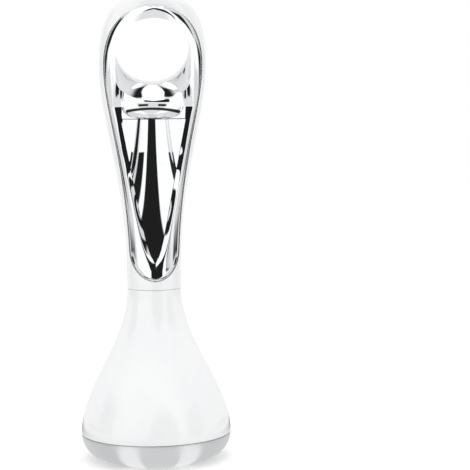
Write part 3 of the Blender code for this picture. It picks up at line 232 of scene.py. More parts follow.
# %% Grids into closed meshes, and cuts
def grid_solid(name, rows, pole=None):
    """A closed solid from rows[level, place, xyz]: quads between rows, and an end face or a pole."""
    levels, places = rows.shape[:2]
    a = np.arange(levels - 1)[:, None] * places + np.arange(places)
    b = np.arange(levels - 1)[:, None] * places + (np.arange(places) + 1) % places
    quads = np.stack([a, b, b + places, a + places], axis=-1).reshape(-1, 4).tolist()
    points = rows.reshape(-1, 3)
    last = (levels - 1) * places
    ends = [list(range(places))[::-1]]
    if pole is None:
        ends.append(list(range(last, last + places)))
    else:
        points = np.vstack([points, pole])
        turn = np.arange(places)
        fan = np.stack([last + turn, last + (turn + 1) % places, np.full(places, len(points) - 1)], -1)
        ends += fan.tolist()
    mesh = bpy.data.meshes.new(name)
    mesh.from_pydata(points, [], quads + ends)
    outward(mesh)
    made = bpy.data.objects.new(name, mesh)
    bpy.context.scene.collection.objects.link(made)
    return made


def outward(mesh):
    """Point every face of a closed mesh outwards."""
    bm = bmesh.new()
    bm.from_mesh(mesh)
    bmesh.ops.recalc_face_normals(bm, faces=bm.faces[:])
    bm.to_mesh(mesh)
    bm.free()


def turned_solid(name, radii, heights, places=160, place=None):
    """A turned solid from a closed profile: the profile is carried round Z, as a torus of rows."""
    turn = np.linspace(0, 2 * np.pi, places, endpoint=False)
    radii, heights = np.asarray(radii, float), np.asarray(heights, float)
    rows = np.stack([radii * np.cos(turn)[:, None], radii * np.sin(turn)[:, None],
                     np.broadcast_to(heights, (places, len(radii)))], axis=-1)
    count = len(radii)
    a = np.arange(places)[:, None] * count + np.arange(count)
    b = np.arange(places)[:, None] * count + (np.arange(count) + 1) % count
    onward = lambda index: (index + count) % (places * count)
    quads = np.stack([a, b, onward(b), onward(a)], axis=-1).reshape(-1, 4)
    mesh = bpy.data.meshes.new(name)
    mesh.from_pydata(rows.reshape(-1, 3), [], quads.tolist())
    bm = bmesh.new()
    bm.from_mesh(mesh)
    bmesh.ops.remove_doubles(bm, verts=bm.verts[:], dist=SEAM / 1000)
    bmesh.ops.recalc_face_normals(bm, faces=bm.faces[:])
    if place is not None:
        bmesh.ops.transform(bm, matrix=place, verts=bm.verts[:])
    bm.to_mesh(mesh)
    bm.free()
    made = bpy.data.objects.new(name, mesh)
    bpy.context.scene.collection.objects.link(made)
    return made


def rod(name, radius, low, high, place=None, places=32):
    """A cylinder from low to high along Z, then moved by place."""
    return turned_solid(name, [0, radius, radius, 0], [low, low, high, high], places, place)


def cut(target, tool, operation="DIFFERENCE"):
    """Cut, join or intersect two closed meshes, and remove the tool."""
    step = target.modifiers.new("cut", "BOOLEAN")
    step.operation = operation
    step.solver = "MANIFOLD"
    step.object = tool
    result = bpy.data.meshes.new_from_object(target.evaluated_get(bpy.context.evaluated_depsgraph_get()))
    target.modifiers.clear()
    target.data = result
    bpy.data.objects.remove(tool, do_unlink=True)
    return target


def smooth(made, angle=30):
    """Shade smooth, with creases where faces meet at more than an angle."""
    made.data.shade_smooth()
    made.data.set_sharp_from_angle(angle=math.radians(angle))
    return made


print("helpers ready")

# %% Rings of the handle
AROUND = 300


def handle_rows(levels, inset=0.0, places=AROUND):
    """Rows of the handle: at each level an ellipse, inset by a wall."""
    turn = np.linspace(0, 2 * np.pi, places, endpoint=False)
    z = np.asarray(levels, float)[:, None]
    wide, deep, middle = half_width(z, inset), half_depth(z, inset), lean_y(z)
    return np.stack([wide * np.sin(turn), middle - deep * np.cos(turn), z + 0 * turn], axis=-1)


def handle_levels(low, inset=0.0, straight=150, cap=60):
    """Levels from low up, closer together over the rounded top, stopping just under the pole."""
    top = RING_TOP_RISE - inset
    over = RING_Z + top * np.sin(np.linspace(0, np.pi / 2, cap + 1)[:-1])
    return np.concatenate([np.linspace(low, RING_Z, straight, endpoint=False), over])


def handle_solid(name, low, inset=0.0, high=None, straight=150, cap=60, places=AROUND):
    """The handle's solid form between two levels, closed by a pole at the top or by an end face."""
    if high is None:
        top = TOP_Z - inset
        rows = handle_rows(handle_levels(low, inset, straight, cap), inset, places)
        return grid_solid(name, rows, pole=[0, float(lean_y(top)), top])
    return grid_solid(name, handle_rows(np.linspace(low, high, straight), inset, places))


print("a full ring of the handle has", AROUND, "points")

# %% [markdown]
# ## The thumb scoop
# A V-shaped hollow runs down the plated front. On the real part it is moulded with the trim, and its floor
# is a separate key. Both are one formula here: the depth of the floor grows with height, each level's floor
# is a curve whose slope grows evenly to a steep wall, and the wall eases out to a fine rounded ridge.
# Under the finger hole the hollow ends in a nose that curls out to the skin.

# %% The scoop's formulas
def scoop_half_width(z):
    """Half of the V: a rounded tip, a steady taper, and at most the mouth's width beside the finger hole."""
    climb = np.maximum(z - SCOOP_Z, 0)
    taper = SCOOP_TIP_ROUND * (1 - np.exp(-climb / SCOOP_TIP_LENGTH)) + SCOOP_TAPER * climb
    return np.minimum(taper, MOUTH_HALF_WIDTH)


def key_half_width(z):
    return np.maximum(scoop_half_width(z) - KEY_INSET, SEAM)


def scoop_depth(z):
    """Depth of the floor behind the ridge: it grows with height and then stays."""
    run = np.clip((z - SCOOP_Z) / SCOOP_RUN, 0, 1)
    return SCOOP_DEPTH * run * (1.2 - 0.2 * run)


def floor_y(z):
    return skin_y(scoop_half_width(z), z) + scoop_depth(z)


def floor_rise(x, z):
    """Rise of the floor at x: minus the log of a cosine to the steep line, then an eased flare."""
    bend = np.maximum(0.02, (z - SCOOP_Z) / SCOOP_RUN) / SCOOP_CURVE_RADIUS
    steep = STEEP_ANGLE / bend
    ease = (STEEP_ANGLE - FLARE_ANGLE) / FLARE_RUN
    low = -np.log(np.cos(np.minimum(bend * x, STEEP_ANGLE))) / bend
    flare = np.clip(x - steep, 0, FLARE_RUN)
    climb = (np.log(np.cos(STEEP_ANGLE - ease * flare)) - math.log(math.cos(STEEP_ANGLE))) / ease
    beyond = np.maximum(x - steep - FLARE_RUN, 0)
    return low + climb + beyond * math.tan(FLARE_ANGLE)


def scoop_face(x, z):
    """The hollow's face: floor, then a straight wall from the key's edge through the ridge."""
    x = np.abs(x)
    wide, inner, depth = scoop_half_width(z), key_half_width(z), scoop_depth(z)
    rise = np.minimum(floor_rise(np.minimum(x, inner), z), depth)
    wall = (depth - rise) / np.maximum(wide - inner, SEAM)
    return floor_y(z) - rise - wall * np.maximum(x - inner, 0)


def front_y(x, z):
    """The plated front: the deeper of skin and hollow, with a small round between them. At the nose the
    hollow curls forward by a quarter ellipse to a keel, which is a parabola across with steep sides, and
    beside the hole it fades out. Round the top the skin stays as deep as the ring is."""
    flatter = half_depth(z, power=TRIM_TOP_POWER) / half_depth(z)
    skin, hollow = lean_y(z) + (skin_y(x, z) - lean_y(z)) * flatter, scoop_face(x, z)
    keel = lean_y(z) - half_depth(z) + NOSE_SETBACK + x * x / (2 * NOSE_RADIUS)
    wide = scoop_half_width(z)
    keel = np.minimum(keel, skin_y(wide, z) + (wide - np.abs(x)) * NOSE_SIDE_SLOPE)
    left = np.clip((NOSE_TOP_Z - z) / NOSE_HEIGHT, 0, 1)
    curl = keel + NOSE_UNDERCUT * (1 - np.sqrt(1 - left ** 2))
    hollow = np.where(z > NOSE_Z, np.minimum(hollow, curl), hollow)
    deeper = (skin + hollow + np.sqrt((skin - hollow) ** 2 + RIDGE_ROUND ** 2)) / 2
    fade = 1 - ease((z - NOSE_TOP_Z) / (HOLLOW_TOP_Z - NOSE_TOP_Z))
    face = skin + (deeper - skin) * fade * ease((z - SCOOP_Z) / (2 * RIDGE_ROUND))
    return face + edge_drop(x, z)


def edge_drop(x, z):
    """How far the trim's rim rounds off: an arc of a circle over the distance to the outline,
    larger at the top."""
    step = SEAM / 10
    slope = (trim_half_width(z + step) - trim_half_width(z - step)) / (2 * step)
    inside = (trim_half_width(z) - np.abs(x)) / np.sqrt(1 + slope ** 2)
    larger = 1 + TRIM_EDGE_GROWTH * ease((z - RING_Z) / (TRIM_TOP_Z - RING_Z))
    short = TRIM_EDGE_WIDTH - np.clip(inside / larger, 0, TRIM_EDGE_WIDTH)
    return larger * (TRIM_EDGE_ROUND - np.sqrt(TRIM_EDGE_ROUND ** 2 - short ** 2))


print("scoop is", round(2 * float(scoop_half_width(NOSE_Z)) / MM, 1), "mm wide at the nose")

# %% [markdown]
# ## Blocks that cut
# The trim's outline, the thick walls round the scoop and the finger hole are closed grids too. The outline
# is carried straight from front to back, which is how an insert drops into its window when it is pressed in.

# %% Outline, walls and finger hole
def trim_half_width(z):
    """Half of the trim's outline: an elliptic tip, a share of the handle's width, an elliptic top."""
    tip = TRIM_WIDTH_SHARE * half_width(TRIM_TIP_TOP_Z)
    drop = np.clip((TRIM_TIP_TOP_Z - z) / TRIM_TIP_LENGTH, 0, 1)
    climb = np.clip((z - RING_Z) / (TRIM_TOP_Z - RING_Z), 0, 1)
    swell = ease((z - NECK_Z - TRIM_SWELL_RISE) / (RING_RISE - TRIM_SWELL_RISE))
    share = TRIM_WIDTH_SHARE + (TRIM_RING_SHARE - TRIM_WIDTH_SHARE) * swell
    side = share * np.where(z > RING_Z, RING_HALF_WIDTH, half_width(np.minimum(z, RING_Z)))
    return np.where(z < TRIM_TIP_TOP_Z, tip * np.sqrt(1 - drop ** 2),
                    side * (1 - climb ** TRIM_TOP_SQUARE) ** (1 / TRIM_TOP_SQUARE))


def slab(name, levels, half, front, back):
    """A block of level slices, from a front plane to a curved back."""
    half = np.maximum(half, SEAM / 2)
    x = np.stack([-half, half, half, -half], -1)
    y = np.stack([front + 0 * half, front + 0 * half, back, back], -1)
    return grid_solid(name, np.stack([x, y, np.broadcast_to(levels[:, None], x.shape)], -1))


def trim_slab(name, spread, back_gap):
    """The trim's outline as a block, wider by spread and less deep by back_gap."""
    tip = TRIM_Z + TRIM_TIP_LENGTH * (1 - np.cos(np.linspace(0, np.pi / 2, 40)))
    middle = np.linspace(TRIM_TIP_TOP_Z, RING_Z, 90)[1:]
    top = RING_Z + (TRIM_TOP_Z - RING_Z) * np.sin(np.linspace(0, np.pi / 2, 60))[1:]
    z = np.concatenate([tip, middle, top])
    back = lean_y(z) - PARTING_SHARE * half_depth(z) - back_gap
    z_out = z.copy()
    z_out[0] -= spread
    z_out[-1] += spread
    return slab(name, z_out, trim_half_width(z) + spread, FRONT_PLANE, back)


PIVOT_Y = float(floor_y(PIVOT_Z)) + PIVOT_SETBACK


def walls_slab(name, spread):
    """The walls round the scoop and the bridge under the finger hole, deeper at the key's ears."""
    z = np.concatenate([[SCOOP_Z - SCOOP_WALL - spread], np.linspace(SCOOP_Z, KEY_Z, 12),
                        [KEY_Z + SEAM, PIVOT_Z + EAR_REACH],
                        np.linspace(PIVOT_Z + EAR_REACH + SEAM, HOLE_Z - HOLE_HALF_HEIGHT / 2, 40)])
    under = np.clip(z, SCOOP_Z, NOSE_Z)
    back = floor_y(under) + KEY_THICKNESS + lean_y(z) - lean_y(under)
    ears = (z > KEY_Z) & (z <= PIVOT_Z + EAR_REACH)
    back = np.where(ears, PIVOT_Y + EAR_BACK, back) + spread
    half = scoop_half_width(np.maximum(z, SCOOP_Z + SCOOP_WALL)) + SCOOP_WALL + spread
    return slab(name, z, half, FRONT_PLANE, back)


def hole_rows(grow, stations, flared, places=200):
    """Ovals along the hole's tilted axis, which widen by a square law at both mouths. From a crest near the
    back the lower half drops forward in a straight line and grows squarer: the lip."""
    along = np.asarray(stations, float)[:, None]
    turn = np.linspace(0, 2 * np.pi, places, endpoint=False)
    past = np.clip((np.abs(along) - HOLE_STRAIGHT) / HOLE_FLARE_REACH, 0, 1) * flared
    flare = np.where(along < 0, FRONT_FLARE, BACK_FLARE) * past ** 2
    forward = np.clip((CREST_BACK - along) / (CREST_BACK + LIP_REACH), 0, 1)
    below = np.sin(turn) < 0
    taller = grow + flare * np.where(below & (along < 0), LIP_FLARE_SHARE, 1)
    power = 2 / np.where(below, 2 + (LIP_SQUARE - 2) * forward, 2)
    across = (HOLE_HALF_WIDTH + grow + flare) * np.sign(np.cos(turn)) * np.abs(np.cos(turn)) ** power
    up = (HOLE_HALF_HEIGHT + taller) * np.sign(np.sin(turn)) * np.abs(np.sin(turn)) ** power
    chevron = LIP_SLOPE * (np.sqrt(across ** 2 + LIP_ROUND ** 2) - LIP_ROUND) * forward
    up = up - below * np.abs(np.sin(turn)) * (LIP_DROP * forward - CREST_RISE - chevron)
    y = lean_y(HOLE_Z) + along * math.cos(HOLE_TILT) - up * math.sin(HOLE_TILT)
    z = HOLE_Z + along * math.sin(HOLE_TILT) + up * math.cos(HOLE_TILT)
    return np.stack([across, y, z], -1)


def finger_hole():
    """The hole as a solid to cut with, longer than the ring is deep."""
    mouth = HOLE_STRAIGHT + HOLE_FLARE_REACH
    flare = np.linspace(HOLE_STRAIGHT, mouth, 20)
    middle = np.linspace(-HOLE_STRAIGHT, HOLE_STRAIGHT, 16)[1:-1]
    front = np.linspace(-LIP_REACH, -mouth, 12)[:-1]
    stations = np.concatenate([[-HOLE_END], front, -flare[::-1], middle, flare, [HOLE_END]])
    return grid_solid("hole", hole_rows(0, stations, 1))


def sleeve(name, grow, back):
    """The hole's oval grown by a wall, from the far front to the level named back."""
    stations = np.concatenate([[-HOLE_END], np.linspace(-LIP_REACH, CREST_BACK, 20), [back]])
    return grid_solid(name, hole_rows(grow, stations, 0))


print("finger hole", round(2 * HOLE_HALF_WIDTH / MM, 1), "mm wide inside")

# %% [markdown]
# ## The plated front
# The front is a loft whose front half is the formula above. Its columns are not evenly spread: one follows
# the key's edge and one follows the ridge at every level, so a reflection runs along them without steps.

# %% Trim
FLOOR_COLUMNS, WALL_COLUMNS, EDGE_COLUMNS = 24, 12, 12
WIDEST_SHARE = 0.8


def front_rows(z, places=AROUND):
    """Rows of the handle with the hollow in front: columns gather at the key's edge and at the ridge."""
    z = np.asarray(z, float)[:, None]
    inside = np.clip(z, SCOOP_Z + RIDGE_ROUND, HOLLOW_TOP_Z)
    wide = np.minimum(scoop_half_width(inside), WIDEST_SHARE * half_width(z))
    inner = np.minimum(key_half_width(inside), WIDEST_SHARE * wide)
    full, deep, middle = half_width(z), half_depth(z), lean_y(z)
    quarter = places // 4
    floor = inner * np.linspace(0, 1, FLOOR_COLUMNS)
    wall = inner + (wide - inner) * np.linspace(0, 1, WALL_COLUMNS)[1:]
    first = np.arcsin(np.clip(wide / full, 0, 1))
    rim = np.clip(trim_half_width(z), wide, full)
    last = np.arcsin(np.clip((rim - TRIM_EDGE_WIDTH) / full, np.sin(first), 1))
    outer = full * np.sin(first + (last - first) * np.linspace(0, 1, quarter - EDGE_COLUMNS - 2)[1:])
    edge = rim - (rim - outer[:, -1:]) * np.linspace(1, 0, EDGE_COLUMNS)[1:]
    outer = np.concatenate([outer, edge, edge[:, -1:] + (full - edge[:, -1:]) * np.array([0.4, 1.0])], axis=1)
    right = np.concatenate([floor, wall, outer], axis=1)
    front = np.stack([right, front_y(right, z), z + 0 * right], -1)
    mirrored = front[:, ::-1] * np.array([-1.0, 1, 1])
    turn = np.linspace(np.pi / 2, -np.pi / 2, quarter)[1:-1]
    back = np.stack([full * np.sin(turn), middle + deep * np.cos(turn), z + 0 * turn], -1)
    return np.concatenate([mirrored[:, :-1], front, back], axis=1)


def make_trim():
    """Plated front: skin, sleeve of the finger hole, walls and nose."""
    nose = NOSE_TOP_Z - NOSE_HEIGHT * np.cos(np.linspace(0, np.pi / 2, 30))
    tip = TRIM_Z + 1.5 * TRIM_EDGE_WIDTH
    start = np.concatenate([[NECK_Z + SEAM], np.linspace(TRIM_Z - SEAM, tip, 16, endpoint=False)])
    lower = np.linspace(tip, NOSE_Z, 130, endpoint=False)
    upper = np.linspace(NOSE_TOP_Z, RING_Z, 30)[1:]
    over = RING_Z + RING_TOP_RISE * np.sin(np.linspace(0, np.pi / 2, 60)[1:-1])
    rim = TRIM_TOP_Z + SEAM - 2 * TRIM_EDGE_WIDTH * np.linspace(0, 1, 24)
    z = np.concatenate([start, lower, nose, upper, np.unique(np.concatenate([over, rim]))])
    trim = grid_solid("plated_trim", front_rows(z), pole=[0, float(lean_y(TOP_Z)), TOP_Z])
    keep = cut(trim_slab("keep", 0, 0), sleeve("sleeve", SLEEVE_WALL, SLEEVE_BACK), "UNION")
    cut(trim, keep, "INTERSECT")
    inside = handle_solid("inside", NECK_Z, TRIM_SKIN, straight=40, cap=20, places=96)
    cut(inside, walls_slab("walls", 0))
    cut(inside, sleeve("sleeve", SLEEVE_WALL, HOLE_END))
    cut(trim, inside)
    z = np.concatenate([[KEY_Z - KEY_GAP], np.linspace(KEY_Z, NOSE_Z - SEAM, 40)])
    cut(trim, slab("pocket", z, key_half_width(z) + KEY_GAP, FRONT_PLANE, lean_y(z) + half_depth(z)))
    cut(trim, finger_hole())
    across = Matrix.Translation((0, PIVOT_Y, PIVOT_Z)) @ Matrix.Rotation(math.pi / 2, 4, "Y")
    reach = float(scoop_half_width(PIVOT_Z)) + SCOOP_WALL - 2 * SEAM
    cut(trim, rod("pin_hole", PIVOT_BORE_RADIUS, -reach, reach, across))
    return smooth(trim)


trim = make_trim()
print("trim:", len(trim.data.polygons), "faces")

# %% Key
def make_key():
    """The scoop's floor: its front is the hollow's formula, its back the same, one thickness deeper."""
    z = np.linspace(KEY_Z, NOSE_Z - 3 * SEAM, 120)[:, None]
    x = key_half_width(z) * np.linspace(-1, 1, 60)
    front = np.stack([x, front_y(x, z), z + 0 * x], -1)
    back = front[:, ::-1] + np.array([0, KEY_THICKNESS, 0])
    key = grid_solid("plated_key", np.concatenate([front, back], axis=1))
    across = Matrix.Translation((0, PIVOT_Y, PIVOT_Z)) @ Matrix.Rotation(math.pi / 2, 4, "Y")
    half = float(key_half_width(PIVOT_Z)) - SEAM
    cut(key, rod("barrel", PIVOT_BARREL_RADIUS, -half, half, across), "UNION")
    cut(key, rod("bore", PIVOT_BORE_RADIUS, -2 * half, 2 * half, across))
    return smooth(key)


key = make_key()
print("key:", len(key.data.polygons), "faces")

# %% [markdown]
# ## The white mouldings
# The handle is one hollow moulding with a window for the trim and a short spigot that enters the head.
# The head is a bell. A real one comes from a mould that was turned on a lathe, so a half cosine carried
# round the axis gives its skin, and the inner skin is the same curve less a wall that thins towards the
# neck.

# %% Handle moulding
def make_handle():
    """White moulding: skin, hollow, window, sleeve seat and finger hole."""
    shell = handle_solid("white_handle", NECK_Z + SEAM / 2)
    spigot = rod("spigot", SPIGOT_RADIUS, NECK_Z - SPIGOT_LENGTH, NECK_Z + SPIGOT_LENGTH, places=120)
    cut(shell, spigot, "UNION")
    turn = np.linspace(0, 2 * np.pi, 120, endpoint=False)
    low = np.array([NECK_Z - 2 * SPIGOT_LENGTH, NECK_Z, NECK_Z + TIP_CORE_RISE])[:, None]
    bore = np.stack([BORE_RADIUS * np.sin(turn) + 0 * low, lean_y(low) - BORE_RADIUS * np.cos(turn),
                     low + 0 * turn], -1)
    above = handle_rows(np.linspace(NECK_Z + HOLLOW_LOW_RISE, NECK_Z + HOLLOW_TOP_RISE, 30), HANDLE_WALL, 120)
    cut(shell, grid_solid("hollow", np.concatenate([bore, above])))
    window = trim_slab("window", SEAM, -SEAM)
    inset = TRIM_SKIN + SEAM
    cut(window, handle_solid("tip_core", NECK_Z, inset, NECK_Z + TIP_CORE_RISE, straight=30, places=96))
    cut(window, handle_solid("ring_core", NECK_Z + RING_CORE_RISE, inset, straight=12, cap=30, places=96))
    cut(shell, window)
    cut(shell, walls_slab("walls", SEAM))
    cut(shell, sleeve("sleeve", SLEEVE_WALL + SEAM, SLEEVE_BACK + SEAM))
    cut(shell, finger_hole())
    return smooth(shell)


handle = make_handle()
print("handle:", len(handle.data.polygons), "faces")

# %% Head moulding
def bell_radius(z):
    """Radius of the bell: a half cosine of the height's power, from the base seam to the neck."""
    share = np.clip((z - PLATE_HEIGHT) / HEAD_HEIGHT, 0, 1) ** BELL_FULLNESS
    return NECK_RADIUS + (PLATE_RADIUS - NECK_RADIUS) * (1 + np.cos(np.pi * share)) / 2


def bell_inner(z):
    share = np.clip((z - PLATE_HEIGHT) / HEAD_HEIGHT, 0, 1)
    return bell_radius(z) - HEAD_WALL_BASE - (HEAD_WALL_NECK - HEAD_WALL_BASE) * share


def make_head():
    """White bell, with a small round at the neck and base edges, three hooks and three screw bosses."""
    low, high = PLATE_HEIGHT + SEAM / 2, NECK_Z - SEAM / 2
    z = np.linspace(low, high, 150)
    outer = bell_radius(z)
    outer[[0, -1]] -= SHELL_EDGE
    z_edge = z.copy()
    z_edge[1], z_edge[-2] = low + SHELL_EDGE, high - SHELL_EDGE
    inner = np.linspace(high, low, 60)
    radii, heights = np.concatenate([outer, bell_inner(inner)]), np.concatenate([z_edge, inner])
    head = turned_solid("white_head", radii, heights, 256)
    inner_radius = float(bell_inner(PLATE_HEIGHT)) - HOOK_REACH
    for middle in HOOK_ANGLES:
        turn = np.linspace(middle - HOOK_ARC / 2, middle + HOOK_ARC / 2, 24)
        radii = np.array([inner_radius, HOOK_OUTER, HOOK_OUTER, inner_radius])
        heights = np.array([HOOK_LOW, HOOK_LOW, HOOK_HIGH, HOOK_HIGH])
        rows = np.stack([radii * np.cos(turn)[:, None], radii * np.sin(turn)[:, None],
                         np.broadcast_to(heights, (24, 4))], -1)
        cut(head, grid_solid("hook", rows), "UNION")
    levels = np.linspace(low, high, 40)
    middle_skin = (bell_radius(levels) + bell_inner(levels)) / 2
    filled = np.concatenate([[0], middle_skin, [0]]), np.concatenate([[low], levels, [high]])
    for angle in BOSS_ANGLES:
        place = Matrix.Translation((BOSS_CIRCLE * math.cos(angle), BOSS_CIRCLE * math.sin(angle), 0))
        boss = rod("boss", BOSS_RADIUS, BOSS_LOW, BOSS_LOW + BOSS_HEIGHT, place)
        cut(boss, turned_solid("bell", *filled, 64), "INTERSECT")
        cut(head, boss, "UNION")
        cut(head, rod("pilot", PILOT_RADIUS, BOSS_LOW - SEAM, PILOT_TOP, place))
    return smooth(head)


head = make_head()
print("head:", len(head.data.polygons), "faces")

# %% [markdown]
# ## The steel plate
# The plate is a shallow dish pressed from sheet steel, then brushed. Its profile is flat to the inner radius
# and then a quarter ellipse, with the sheet's thickness turned in at the rim.

# %% Plate
def make_plate():
    """Steel dish: a flat face, a quarter-ellipse side, a rounded rim and the sheet's thickness."""
    top = PLATE_HEIGHT - SEAM / 2
    turn = np.linspace(0, np.arccos(1 - top / PLATE_HEIGHT), 60)
    side = PLATE_RADIUS - PLATE_FLAT_RADIUS
    outer_r = PLATE_FLAT_RADIUS + side * np.sin(turn)
    outer_z = PLATE_HEIGHT * (1 - np.cos(turn))
    turn_in = turn[::-1]
    inner_r = PLATE_FLAT_RADIUS + (side - PLATE_WALL) * np.sin(turn_in)
    inner_z = PLATE_HEIGHT - (PLATE_HEIGHT - PLATE_WALL) * np.cos(turn_in)
    inner_z[0] = top
    flat = np.linspace(0, PLATE_FLAT_RADIUS, 24)[:-1]
    radii = np.concatenate([flat, outer_r, inner_r, [0]])
    heights = np.concatenate([0 * flat, outer_z, inner_z, [PLATE_WALL]])
    return smooth(turned_solid("steel_plate", radii, heights, 256))


plate = make_plate()
print("plate:", len(plate.data.polygons), "faces")

# %% [markdown]
# ## Shader maths as Python
# A material is a tree of nodes, and sums in it are easier to read as sums. The small class below wraps a
# socket, so that an expression such as 1 - mask * 0.5 adds its Math nodes by itself. One function adds any
# other node from its type, its settings and the values of its sockets.

# %% A class for sockets
class Wire:
    """A socket in a node tree that takes part in sums."""

    def __init__(self, tree, socket):
        self.tree = tree
        self.socket = socket

    def math(self, operation, a, b=0.0):
        return add_node(self.tree, "ShaderNodeMath", {"operation": operation}, {0: a, 1: b})

    def __add__(self, other):
        return self.math("ADD", self, other)

    def __sub__(self, other):
        return self.math("SUBTRACT", self, other)

    def __rsub__(self, other):
        return self.math("SUBTRACT", other, self)

    def __mul__(self, other):
        return self.math("MULTIPLY", self, other)

    def __truediv__(self, other):
        return self.math("DIVIDE", self, other)

    def __neg__(self):
        return self * -1.0

    __radd__ = __add__
    __rmul__ = __mul__

    def largest(self, other):
        return self.math("MAXIMUM", self, other)

    def size(self):
        return self.math("ABSOLUTE", self)

    def towards(self, other, share):
        """A blend from this value to another, by a share."""
        return self + (other - self) * share

    def smoothstep(self, low, high):
        """0 below low, 1 above high and a smooth ramp between them."""
        return add_node(self.tree, "ShaderNodeMapRange", {"interpolation_type": "SMOOTHSTEP"},
                        {"Value": self, "From Min": low, "From Max": high})

    def between(self, low, high, soft):
        """1 from low to high, with soft sides."""
        return (self - low).smoothstep(-soft, soft) * (1 - (self - high).smoothstep(-soft, soft))

    def output(self, name):
        """Another output of the same node."""
        return Wire(self.tree, self.socket.node.outputs[name])


def join(tree, slot, value):
    """Link a wire to a socket, or set the socket's own value."""
    if isinstance(value, Wire):
        tree.links.new(value.socket, slot)
    elif slot.type == "RGBA":
        slot.default_value = (*value[:3], 1)
    elif value is not None:
        slot.default_value = value


def add_node(tree, kind, settings=None, values=None, out=0):
    """Any node: its settings first, then the values or links of its sockets."""
    node = tree.nodes.new(kind)
    for name, value in (settings or {}).items():
        setattr(node, name, value)
    for name, value in (values or {}).items():
        join(tree, node.inputs[name], value)
    return Wire(tree, node.outputs[out]) if node.outputs else None


def new_material(name):
    """An empty material, with its tree and its Object coordinates."""
    made = bpy.data.materials.new(name)
    made.use_nodes = True
    made.node_tree.nodes.clear()
    return made, made.node_tree, add_node(made.node_tree, "ShaderNodeTexCoord", out="Object")


def finish_material(tree, **values):
    """The Principled shader and the output. Names use _ for a space."""
    shader = add_node(tree, "ShaderNodeBsdfPrincipled", None,
                      {name.replace("_", " "): value for name, value in values.items()})
    add_node(tree, "ShaderNodeOutputMaterial", None, {"Surface": shader})


def split(tree, vector):
    """The three parts of a vector."""
    x = add_node(tree, "ShaderNodeSeparateXYZ", None, {"Vector": vector})
    return x, x.output(1), x.output(2)


def noise(tree, place, scale, detail=2.0, roughness=0.5):
    return add_node(tree, "ShaderNodeTexNoise", None,
                    {"Vector": place, "Scale": scale, "Detail": detail, "Roughness": roughness})


def blend_colours(tree, factor, low, high):
    """A colour between two, by a factor."""
    return add_node(tree, "ShaderNodeMix", {"data_type": "RGBA"}, {0: factor, 6: low, 7: high}, out=2)


def bump(tree, height, strength, distance):
    values = {"Height": height, "Strength": strength, "Distance": distance}
    return add_node(tree, "ShaderNodeBump", None, values)


print("shader helpers ready")

# %% [markdown]
# ## Finishes of the outside
# Polished white plastic is never quite flat or clean: it has a faint orange peel from the mould, and its
# gloss varies a little where it was handled. Plating copies the plastic under it, so the chrome gets the
# same gentle waves, much weaker, with a breath of haze. The plate is brushed in circles.

# %% White gloss
def white_gloss():
    made, tree, place = new_material("gloss_white")
    peel = noise(tree, place, 900.0, 2.0)
    cloud = noise(tree, place, 60.0, 4.0, 0.6)
    handled = cloud.smoothstep(0.35, 0.7)
    colour = blend_colours(tree, handled, (0.885, 0.89, 0.90), (0.915, 0.918, 0.922))
    finish_material(tree, Base_Color=colour, Roughness=0.16 + handled * 0.05, IOR=1.5, Coat_Weight=0.3,
                    Coat_Roughness=0.04, Normal=bump(tree, peel, 0.05, 0.00004))
    return made


def mirror_chrome():
    made, tree, place = new_material("mirror_plating")
    waves = noise(tree, place, 70.0, 1.0)
    haze = noise(tree, place, 240.0, 5.0, 0.65).smoothstep(0.5, 0.8)
    colour = blend_colours(tree, haze, (0.86, 0.87, 0.885), (0.80, 0.81, 0.83))
    finish_material(tree, Base_Color=colour, Metallic=1.0, Roughness=0.035 + haze * 0.03,
                    Normal=bump(tree, waves, 0.06, 0.0002))
    return made


def brushed_plate():
    """Circular brushing: noise read at the radius, stretched round the axis."""
    made, tree, place = new_material("brushed_steel_plate")
    x, y, z = split(tree, place)
    radius = x.math("SQRT", x * x + y * y)
    angle = x.math("ARCTAN2", y, x)
    rings = add_node(tree, "ShaderNodeCombineXYZ", None,
                     {"X": radius * 9000.0, "Y": angle * 2.5, "Z": z * 9000.0})
    lines = noise(tree, rings, 1.0, 3.0, 0.6)
    broad = noise(tree, place, 40.0, 3.0)
    colour = blend_colours(tree, lines, (0.66, 0.67, 0.68), (0.80, 0.81, 0.82))
    finish_material(tree, Base_Color=colour, Metallic=1.0, Roughness=0.24 + lines * 0.10 + broad * 0.05,
                    Normal=bump(tree, lines, 0.10, 0.00003))
    return made


GLOSS, CHROME, BRUSHED = white_gloss(), mirror_chrome(), brushed_plate()
print("outer finishes:", GLOSS.name, CHROME.name, BRUSHED.name)

# %% [markdown]
# ## Finishes of the inside
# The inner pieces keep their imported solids, because their shapes are already right. Each gets a finish from
# one of a few recipes: moulded plastic with a fine spark texture, rubber, bright or drawn metal, a lacquered
# board with its copper tracks, and insulated wire.

# %% Inner recipes
def moulded(name, low, high, roughness, grain=1400.0):
    made, tree, place = new_material(name)
    fine = noise(tree, place, grain, 3.0, 0.6)
    cloud = noise(tree, place, 90.0, 3.0)
    finish_material(tree, Base_Color=blend_colours(tree, cloud, low, high), Roughness=roughness + fine * 0.12,
                    Normal=bump(tree, fine, 0.25, 0.00005))
    return made


def worked_metal(name, low, high, roughness, stretch=(200.0, 200.0, 2600.0)):
    """Fine drawn lines, by a Mapping node that stretches noise along an axis."""
    made, tree, place = new_material(name)
    drawn = add_node(tree, "ShaderNodeMapping", None, {"Vector": place, "Scale": stretch})
    lines = noise(tree, drawn, 1.0, 4.0, 0.6)
    stain = noise(tree, place, 160.0, 4.0, 0.6).smoothstep(0.45, 0.75)
    colour = blend_colours(tree, stain, high, low)
    finish_material(tree, Base_Color=colour, Metallic=1.0, Roughness=roughness + lines * 0.12 + stain * 0.08,
                    Normal=bump(tree, lines, 0.12, 0.00003))
    return made


